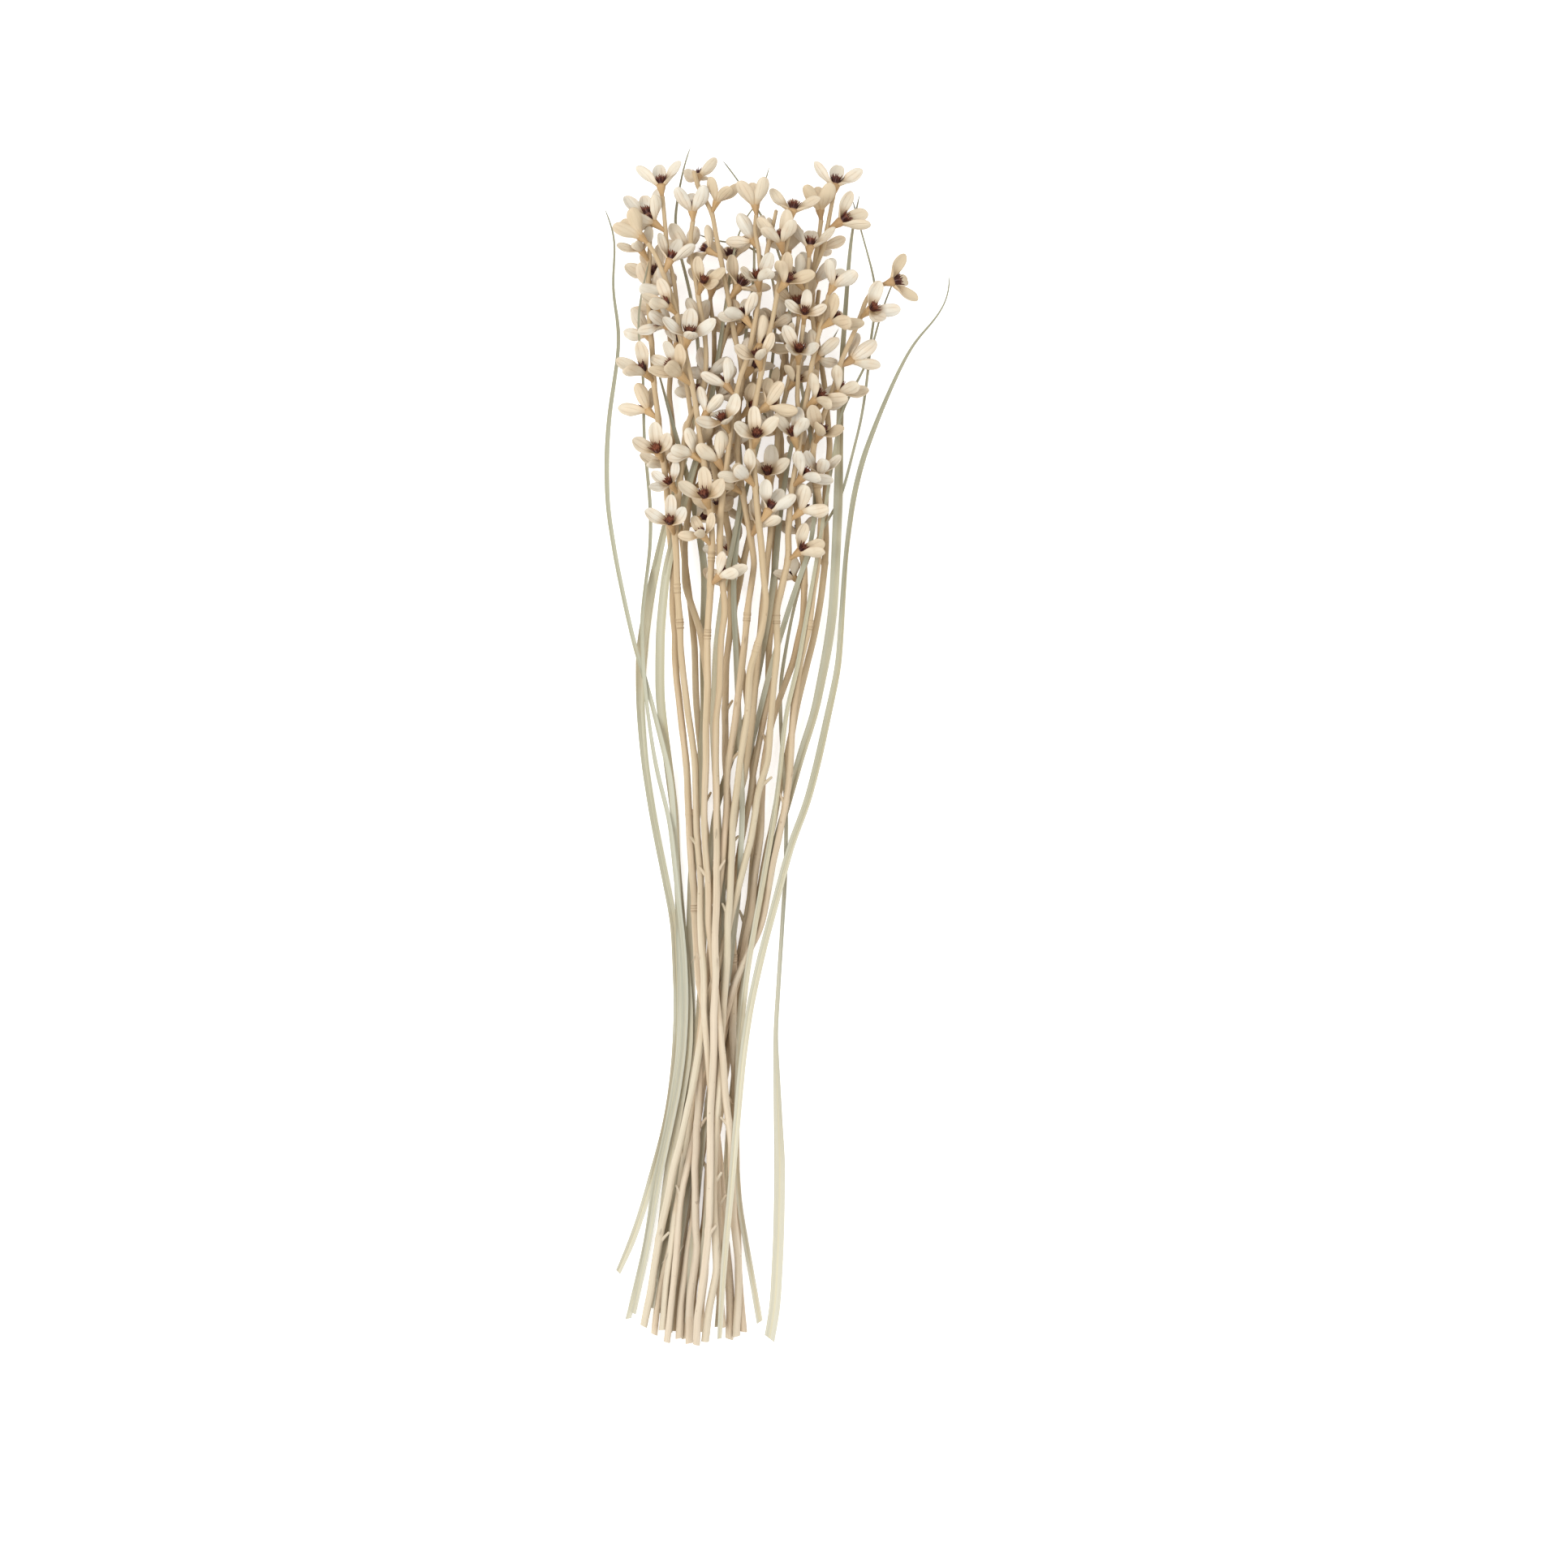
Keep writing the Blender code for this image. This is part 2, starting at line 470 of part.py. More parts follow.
def side_ways(rod, s):
    """Outward directions of a rod's sides, its lowest side flat to the table."""
    t = rod.heading(s)
    up = (Vector((0, 0, 1)) - t * t.z).normalized()
    a = up.cross(t)
    sides = CANE_SIDES if rod.kind == "cane" else 4
    start = -math.pi / 2 + math.pi / sides
    return [a * math.cos(start + math.tau * (k + 0.5) / sides)
            + up * math.sin(start + math.tau * (k + 0.5) / sides) for k in range(sides)], t


def place_capsules(rods):
    """Capsules stand alternately along the twigs, each turned to the nearest free direction."""
    rnd, opens = random.Random(SEED), random.Random(SEED + 2)
    cloud = Cloud()
    for k, rod in enumerate(rods):
        cloud.add(*rod_balls(rod), k)
    ends = [r for r in rods if r.kind != "blade" and not r.bare_tip]
    for rod in ends:
        end_capsule(rod, rods.index(rod), cloud, rnd, opens.random() < OPEN_SHARE)
    sites = []
    for rod in rods:
        if rod.kind == "blade":
            continue
        s = rod.length - (0.020 if not rod.bare_tip else 0.008)
        turn = rnd.uniform(0.0, math.tau)
        while s > rod.head:
            near = min(rod.corners, key=lambda c: abs(c - s))
            if abs(near - s) < 0.0065 and near < rod.length - 0.012:
                s = float(near)
            sites.append((rod, s, turn))
            turn += math.pi + rnd.uniform(-0.7, 0.7)
            s -= CAPSULE_SPACING * rnd.uniform(0.86, 1.14)
    sites.sort(key=lambda site: -round(site[0].read(site[0].z, site[1]), 4))
    for rod, s, turn in sites:
        side_capsule(rod, s, turn, rods.index(rod), cloud, rnd, opens.random() < OPEN_SHARE)


def spread_of(rnd, sides):
    base = math.radians(rnd.uniform(*VALVE_SPREAD))
    return [base * rnd.uniform(0.85, 1.2) for _ in range(sides)]


def end_capsule(rod, owner, cloud, rnd, upper):
    """A capsule at the tip of a twig, open on its upper side or closed there."""
    t = rod.heading(rod.length)
    sides = CANE_SIDES if rod.kind == "cane" else 4
    valves = (1, 2, 4) if sides == 5 and not upper else (0, 1, 2)
    if upper:
        spin = 2.83 if sides == 5 else 2.36
    else:
        spin = -0.942 if sides == 5 else -1.42
    spread = spread_of(rnd, sides)
    root = rod.point(rod.length)
    centre, radius, own = cloud.near(root, 0.034)
    far = np.linalg.norm(centre - np.array(root), axis=1) > 0.007
    keep = (own != owner) | far
    best = None
    for tilt in (0.0, 0.3, -0.3, 0.55):
        for lean in (0.0, 0.25, -0.25):
            axis = (t + Vector((0, 0, 1)) * tilt + t.cross(Vector((0, 0, 1))) * lean).normalized()
            hint = Vector((0, 0, 1)).cross(axis)
            item = Capsule(root, axis, hint, spin, sides, valves, 1.05, spread, 0.75)
            room = clear_of(item, centre[keep], radius[keep])
            if best is None or room > best[0] + 0.0002:
                best = (room, item)
        if best[0] > CLEARANCE:
            break
    if best[0] < 0.0002:
        return
    item = best[1]
    item.s, item.face = rod.length, None
    rod.capsules.append(item)
    cloud.add(*item.balls(), owner)


def side_capsule(rod, s, turn, owner, cloud, rnd, upper):
    """Turn a capsule to the free direction nearest to its turn; a crowded one stays smaller."""
    ways, t = side_ways(rod, s)
    here = rod.point(s)
    r = rod.read(rod.radius, s)
    sides = len(ways)
    centre, radius, own = cloud.near(here, 0.036)
    far = np.linalg.norm(centre - np.array(here), axis=1) > r + 0.0055
    keep = (own != owner) | far
    want = side_want(ways, turn)
    spread = spread_of(rnd, 4)
    lean = rnd.uniform(0.62, 0.88)
    full = rnd.uniform(0.90, 1.08)
    four = rnd.random() < 0.10
    for size, up in ((full, upper), (full * 0.86, upper), (full * 0.86, False), (full * 0.74, False)):
        picks = []
        for face, out in enumerate(ways):
            for swing in (-0.4, 0.0, 0.4):
                way = (out + t.cross(out) * swing).normalized()
                picks.append((way.dot(want), face, out, way))
        picks.sort(key=lambda p: -round(p[0], 6))
        for _, face, out, way in picks:
            for tip in (lean, lean * 0.72):
                axis = t * math.cos(tip) + way * math.sin(tip)
                root = here + out * (r * half_height(sides) * 0.9)
                spin = math.pi / 4 if up else 0.2
                item = Capsule(root, axis, t, spin, 4, (0, 1, 2, 3), size, spread, size)
                if not four:
                    item.drop_one(up)
                if clear_of(item, centre[keep], radius[keep]) > CLEARANCE:
                    item.s, item.face = s, face
                    rod.capsules.append(item)
                    cloud.add(*item.balls(), owner)
                    return


def side_want(ways, turn):
    a, b = ways[0], ways[1]
    t = a.cross(b).normalized()
    return a * math.cos(turn) + t.cross(a) * math.sin(turn)


def place_stubs(rods):
    """Cut side twigs stand on the bare canes where there is room."""
    rnd = random.Random(SEED + 1)
    cloud = Cloud()
    for k, rod in enumerate(rods):
        cloud.add(*rod_balls(rod), k)
        for item in rod.capsules:
            cloud.add(*item.balls(), k)
    for owner, rod in enumerate(rods):
        if rod.kind != "cane":
            continue
        s = rnd.uniform(0.05, 0.14)
        while s < rod.head - 0.02:
            ways, t = side_ways(rod, s)
            here = rod.point(s)
            r = rod.read(rod.radius, s)
            long = rnd.uniform(0.0026, 0.0044)
            centre, radius, own = cloud.near(here, 0.02)
            keep = own != owner
            order = sorted(range(1, len(ways) - 1), key=lambda k: rnd.random()) + [0]
            for face in order:
                way = (ways[face] + t * 0.75).normalized()
                base = here + ways[face] * (r * half_height(CANE_SIDES))
                line = np.array([base + way * (long * u) for u in (0.35, 0.7, 1.0)])
                d = np.linalg.norm(line[:, None, :] - centre[None, keep, :], axis=2) - radius[None, keep]
                if (not d.size or d.min() > 0.0014) and line[:, 2].min() > 0.0012:
                    rod.stubs.append((s, face, way, long))
                    break
            s += rnd.uniform(0.13, 0.24)


def grow(bm, face, corners):
    """Extrude a face to new corners, matched to its own; the walls come back in the corners' order."""
    n = len(corners)
    centre = face.calc_center_median()
    middle = sum(corners, Vector()) / n
    old = [loop.vert.co - centre for loop in face.loops]
    new = [corner - middle for corner in corners]
    costs = [sum((new[(i + k) % n] - old[i]).length for i in range(n)) for k in range(n)]
    turn = min(range(n), key=lambda k: round(costs[k], 8))
    end = bmesh.ops.extrude_discrete_faces(bm, faces=[face])["faces"][0]
    walls = [None] * n
    for i, loop in enumerate(end.loops):
        loop.vert.co = corners[(i + turn) % n]
        walls[(i + turn) % n] = next(f for f in loop.edge.link_faces if f is not end)
    return end, walls


def ring(centre, tangent, radius, sides):
    """Corners of a cross-section, its lowest side flat to the table."""
    up = (Vector((0, 0, 1)) - tangent * tangent.z).normalized()
    a = up.cross(tangent)
    start = math.pi / sides - math.pi / 2
    return [centre + (a * math.cos(start + math.tau * k / sides)
                      + up * math.sin(start + math.tau * k / sides)) * radius for k in range(sides)]


def grow_capsule(bm, face, item):
    """Stalk, cup, valves and tuft, each extruded from the one before."""
    rim = CUP_RADIUS * item.size * (1.25 if item.sides == 4 else 1.32)
    face, _ = grow(bm, face, item.section(item.cup, rim))
    top = item.cup + item.axis * COLLAR
    face, walls = grow(bm, face, item.section(top, rim))
    for k in item.valves:
        grow_valve(bm, walls[k], item, k)
    tip = bmesh.ops.poke(bm, faces=[face])["verts"][0]
    tip.co = top + item.axis * (TUFT_HEIGHT * item.size)


def grow_valve(bm, face, item, k):
    foot, middle, end, side, inner_a, inner_b = item.valve(k)
    wide = VALVE_HALF_WIDTH * item.size
    thick = VALVE_HALF_THICKNESS * item.size
    face, _ = grow(bm, face, plate(middle, side, inner_a, wide, thick))
    grow(bm, face, plate(end, side, inner_b, wide * 0.64, thick * 0.75))


def plate(centre, side, inner, wide, thick):
    """Four corners of a flat cross-section, in turn round the way it points."""
    return [centre + side * (wide * a) + inner * (thick * b)
            for a, b in ((-1, -1), (1, -1), (1, 1), (-1, 1))]


def bends(rod, slack):
    """The fewest stations along a rod whose chords stay within the slack of its line."""
    line = np.column_stack([rod.xy, rod.z])
    keep = {0, len(rod.s) - 1}
    work = [(0, len(rod.s) - 1)]
    while work:
        i, j = work.pop()
        if j - i < 2:
            continue
        along = line[j] - line[i]
        along = along / np.linalg.norm(along)
        arms = line[i + 1:j] - line[i]
        off = np.linalg.norm(arms - np.outer(arms @ along, along), axis=1)
        k = i + 1 + int(np.argmax(off))
        if off[k - i - 1] > slack:
            keep.add(k)
            work += [(i, k), (k, j)]
    return [float(rod.s[k]) for k in sorted(keep)]


def stations(rod):
    """Where a cane or twig has a cross-section, with the radius there and what grows from the span."""
    marks = {s: 1.0 for s in bends(rod, CANE_SLACK)}
    spans = []
    for item in rod.capsules:
        if item.face is not None:
            spans.append((item.s - NODE_HALF, item.s + NODE_HALF, item))
    for stub in rod.stubs:
        spans.append((stub[0] - NODE_HALF, stub[0] + NODE_HALF, stub))
    spans.sort(key=lambda span: span[0])
    if rod.kind == "cane":
        top = rod.head - 0.006
        for k in range(3):
            marks[top - NODE_HALF * k] = 1.0 if k % 2 == 0 else SCAR_SWELL
    for a, b, _ in spans:
        for s in [m for m in marks if a - 0.006 < m < b + 0.006 and 0.0 < m < rod.length]:
            del marks[s]
    for a, b, _ in spans:
        marks[a] = marks[b] = NODE_SWELL
    return sorted(marks.items()), spans


def build_rod(bm, rod, face, sides, start=0.0):
    """Extrude a rod span by span. What grows from a side comes back with its wall."""
    marks, spans = stations(rod)
    marks = [m for m in marks if m[0] > start + 0.001]
    if start > 0.0:
        marks.insert(0, (start, 1.0))
    pending = []
    before = 0.0
    for s, swell in marks:
        if s == 0.0:
            continue
        corners = ring(rod.point(s), rod.heading(s), rod.read(rod.radius, s) * swell, sides)
        face, walls = grow(bm, face, corners)
        for a, b, thing in spans:
            if abs(a - before) < 1e-7 and abs(b - s) < 1e-7:
                pending.append((walls, thing))
        before = s
    for walls, thing in pending:
        if isinstance(thing, Capsule):
            grow_capsule(bm, walls[thing.face], thing)
        elif isinstance(thing[2], Rod):
            build_rod(bm, thing[2], walls[thing[1]], 4, thing[3])
        else:
            grow_stub(bm, walls[thing[1]], thing)
    for item in rod.capsules:
        if item.face is None:
            grow_capsule(bm, face, item)


def grow_stub(bm, face, stub):
    _, _, way, long = stub
    p, q = frame_of(way, Vector((0.0, 1.0, 0.0)))
    base = face.calc_center_median()
    turns = [math.pi / 4 + math.tau * k / 4 for k in range(4)]
    middle = base + way * (long * 0.75)
    end, _ = grow(bm, face, [middle + (p * math.cos(a) + q * math.sin(a)) * 0.0007 for a in turns])
    tip = bmesh.ops.poke(bm, faces=[end])["verts"][0]
    tip.co = base + way * long


def build_branch(rods):
    """A cane with its twigs, stubs and capsules, grown as one body."""
    bm = bmesh.new()
    cane = rods[0]
    foot, t = cane.point(0.0), cane.heading(0.0)
    cut = ring(foot, t, cane.read(cane.radius, 0.0), CANE_SIDES)
    slant = CUT_SLANT * math.sin(1.7 * int(cane.name[-2:]))
    across = Vector((0, 0, 1)).cross(t).normalized()
    first = [bm.verts.new(c + t * (slant * (c - foot).dot(across))) for c in cut]
    face = bm.faces.new(first)
    for twig in rods[1:]:
        s = twig.parent[1]
        ways, _ = side_ways(cane, s)
        start = 0.004
        while start < 0.02 and free_of(twig, start, cane) < 0.0006:
            start += 0.0005
        lead = (twig.point(start) - cane.point(s)).normalized()
        side = max(range(CANE_SIDES), key=lambda k: round(ways[k].dot(lead), 6))
        cane.stubs.append((s, side, twig, start))
    build_rod(bm, cane, face, CANE_SIDES)
    bm.faces.new(list(reversed(first)))
    return bm


def free_of(twig, s, cane):
    """Room between a twig and the cane it left."""
    point = twig.point(s)
    line = np.column_stack([cane.xy, cane.z])
    d = np.linalg.norm(line - np.array(point), axis=1)
    k = int(np.argmin(d))
    return float(d[k] - cane.radius[k] - twig.read(twig.radius, s))


def build_blade(blade):
    """A flat ribbon with four corners to each cross-section."""
    bm = bmesh.new()
    marks = set(bends(blade, BLADE_SLACK))
    marks.update(float(s) for s in blade.corners)
    face = first = None
    for s in sorted(marks):
        c, t = blade.point(s), blade.heading(s)
        up = (Vector((0, 0, 1)) - t * t.z).normalized()
        a = up.cross(t) * (0.5 * blade.read(blade.width, s))
        h = up * BLADE_HALF_THICKNESS
        corners = [c - a - h, c + a - h, c + a + h, c - a + h]
        corners.reverse()
        if face is None:
            first = [bm.verts.new(co) for co in corners]
            face = bm.faces.new(first)
        else:
            face, _ = grow(bm, face, corners)
    bm.faces.new(list(reversed(first)))
    return bm


def material(name, colour, roughness):
    mat = bpy.data.materials.new(name)
    mat.use_nodes = True
    shader = mat.node_tree.nodes["Principled BSDF"]
    shader.inputs["Base Color"].default_value = colour + (1.0,)
    shader.inputs["Roughness"].default_value = roughness
    shader.inputs["Metallic"].default_value = 0.0
    return mat


def add_object(name, bm, mat):
    bmesh.ops.recalc_face_normals(bm, faces=bm.faces[:])
    bmesh.ops.triangulate(bm, faces=bm.faces[:])
    mesh = bpy.data.meshes.new(name)
    bm.to_mesh(mesh)
    bm.free()
    mesh.materials.append(mat)
    mesh.shade_smooth()
    mesh.set_sharp_from_angle(angle=math.radians(35.0))
    obj = bpy.data.objects.new(name, mesh)
    bpy.context.scene.collection.objects.link(obj)
    return obj


def stand_on_table(objects):
    """Shift everything so that the middle of the lowest face of the box is the origin."""
    low, high = Vector((1e9, 1e9, 1e9)), Vector((-1e9, -1e9, -1e9))
    for obj in objects:
        for v in obj.data.vertices:
            for k in range(3):
                low[k] = min(low[k], v.co[k])
                high[k] = max(high[k], v.co[k])
    shift = Vector((-(low.x + high.x) / 2, -(low.y + high.y) / 2, -low.z))
    for obj in objects:
        for v in obj.data.vertices:
            v.co += shift


def main():
    for obj in list(bpy.data.objects):
        bpy.data.objects.remove(obj)
    rods = lay_bunch()
    place_capsules(rods)
    place_stubs(rods)
    wood = material("dried_branch", (0.70, 0.56, 0.40), 0.75)
    straw = material("dried_grass", (0.52, 0.54, 0.40), 0.70)
    objects = []
    for name in sorted(CANES):
        own = [rod for rod in rods if rod.name == name]
        objects.append(add_object(name, build_branch(own), wood))
    for name in sorted(BLADES):
        blade = next(rod for rod in rods if rod.name == name)
        objects.append(add_object(name, build_blade(blade), straw))
    stand_on_table(objects)


main()
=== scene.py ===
"""Looks of a dried branch bouquet that lies on a table: woody canes, open seed capsules, grass blades.

Metres, +Z up. The bunch lies along Y with its heads at +Y and its cut feet at -Y. The canes and blades
are laid by the same rules as the solids that they stand for, and are then given their finer form.
"""
import functools
import math
import random

import bmesh
import bpy
import numpy as np
from mathutils import Matrix, Quaternion, Vector, noise


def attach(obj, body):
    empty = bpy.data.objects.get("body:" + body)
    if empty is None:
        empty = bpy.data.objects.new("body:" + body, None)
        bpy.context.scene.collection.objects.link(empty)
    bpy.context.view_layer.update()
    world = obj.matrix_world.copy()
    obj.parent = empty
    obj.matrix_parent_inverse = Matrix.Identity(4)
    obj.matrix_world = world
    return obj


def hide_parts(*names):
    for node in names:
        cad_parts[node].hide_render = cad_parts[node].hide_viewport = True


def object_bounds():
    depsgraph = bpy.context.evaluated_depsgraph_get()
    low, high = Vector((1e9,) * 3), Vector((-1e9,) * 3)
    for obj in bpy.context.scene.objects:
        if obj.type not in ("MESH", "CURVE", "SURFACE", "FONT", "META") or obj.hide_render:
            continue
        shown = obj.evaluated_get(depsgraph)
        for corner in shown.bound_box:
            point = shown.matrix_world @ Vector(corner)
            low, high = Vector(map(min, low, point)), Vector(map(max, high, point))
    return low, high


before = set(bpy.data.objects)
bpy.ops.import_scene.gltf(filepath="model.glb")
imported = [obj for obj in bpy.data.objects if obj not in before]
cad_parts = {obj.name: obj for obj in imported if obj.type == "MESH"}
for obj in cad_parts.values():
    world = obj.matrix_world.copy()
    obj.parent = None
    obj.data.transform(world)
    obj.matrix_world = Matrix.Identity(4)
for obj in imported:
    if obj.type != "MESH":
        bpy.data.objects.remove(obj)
CAD_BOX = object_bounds()

bl_info = {
    "name": "Dried branch bouquet",
    "version": (1, 0, 0),
    "blender": (4, 5, 0),
    "location": "3D View > Sidebar > Bouquet",
    "description": "Builds a dried bouquet of branches with seed capsules and grass blades",
    "category": "Add Mesh",
}

# Driving dimensions, in metres. BEND and TWIG_BEND are curvatures, in 1/m. A rise gives the height
# along the bunch where stems start to leave the table, and how far on they have left it in full.
# VALVE_SPREAD is in degrees, OPEN_SHARE the share of the capsules that are open on their upper side.
UP = Vector((0.0, 0.0, 1.0))
LENGTH = 0.700
GRID = LENGTH / 1491.0
GRID_MID = (958.414, 917.383)
CANE_SIDES = 5
HEAD_RADIUS = 0.00160
TIP_RADIUS = 0.00095
TWIG_RADIUS = 0.0013
TWIG_BARE = 0.016
BLADE_HALF_THICKNESS = 0.0004
BLADE_ROOM = 0.0003
BLADE_LEAST_WIDTH = 0.0009
GAP = 0.00040
CAPSULE_SPACING = 0.0230
FIRST_CAPSULE = 0.020
FIRST_ON_BARE_TIP = 0.008
CORNER_PULL = 0.0065
CORNER_LEAVE = 0.012
FOUR_VALVES_SHARE = 0.10
STALK_LENGTH = 0.0088
CUP_RADIUS = 0.0020
COLLAR = 0.0010
VALVE_LENGTH = 0.0152
VALVE_HALF_WIDTH = 0.0039
VALVE_SPREAD = (33.0, 54.0)
VALVE_LEANS = (1.12, 0.80)
OPEN_SHARE = 0.55
STEP = 0.0025
HEADING_REACH = 0.003
CANE_RISE = (-0.16, 0.26)
BLADE_RISE = (0.0, 0.20)
BLADE_LIFT = 0.010
CANE_EASE = 0.010
BLADE_EASE = 0.006
TWIG_EASE = 0.012
CUT_SLANT = 0.3
BEND = 4.0
TWIG_BEND = 6.0
STUB_LENGTH = (0.0026, 0.0044)
STUB_START = (0.05, 0.14)
STUB_MARGIN = 0.02
STUB_SPACING = (0.13, 0.24)
SEED = 41

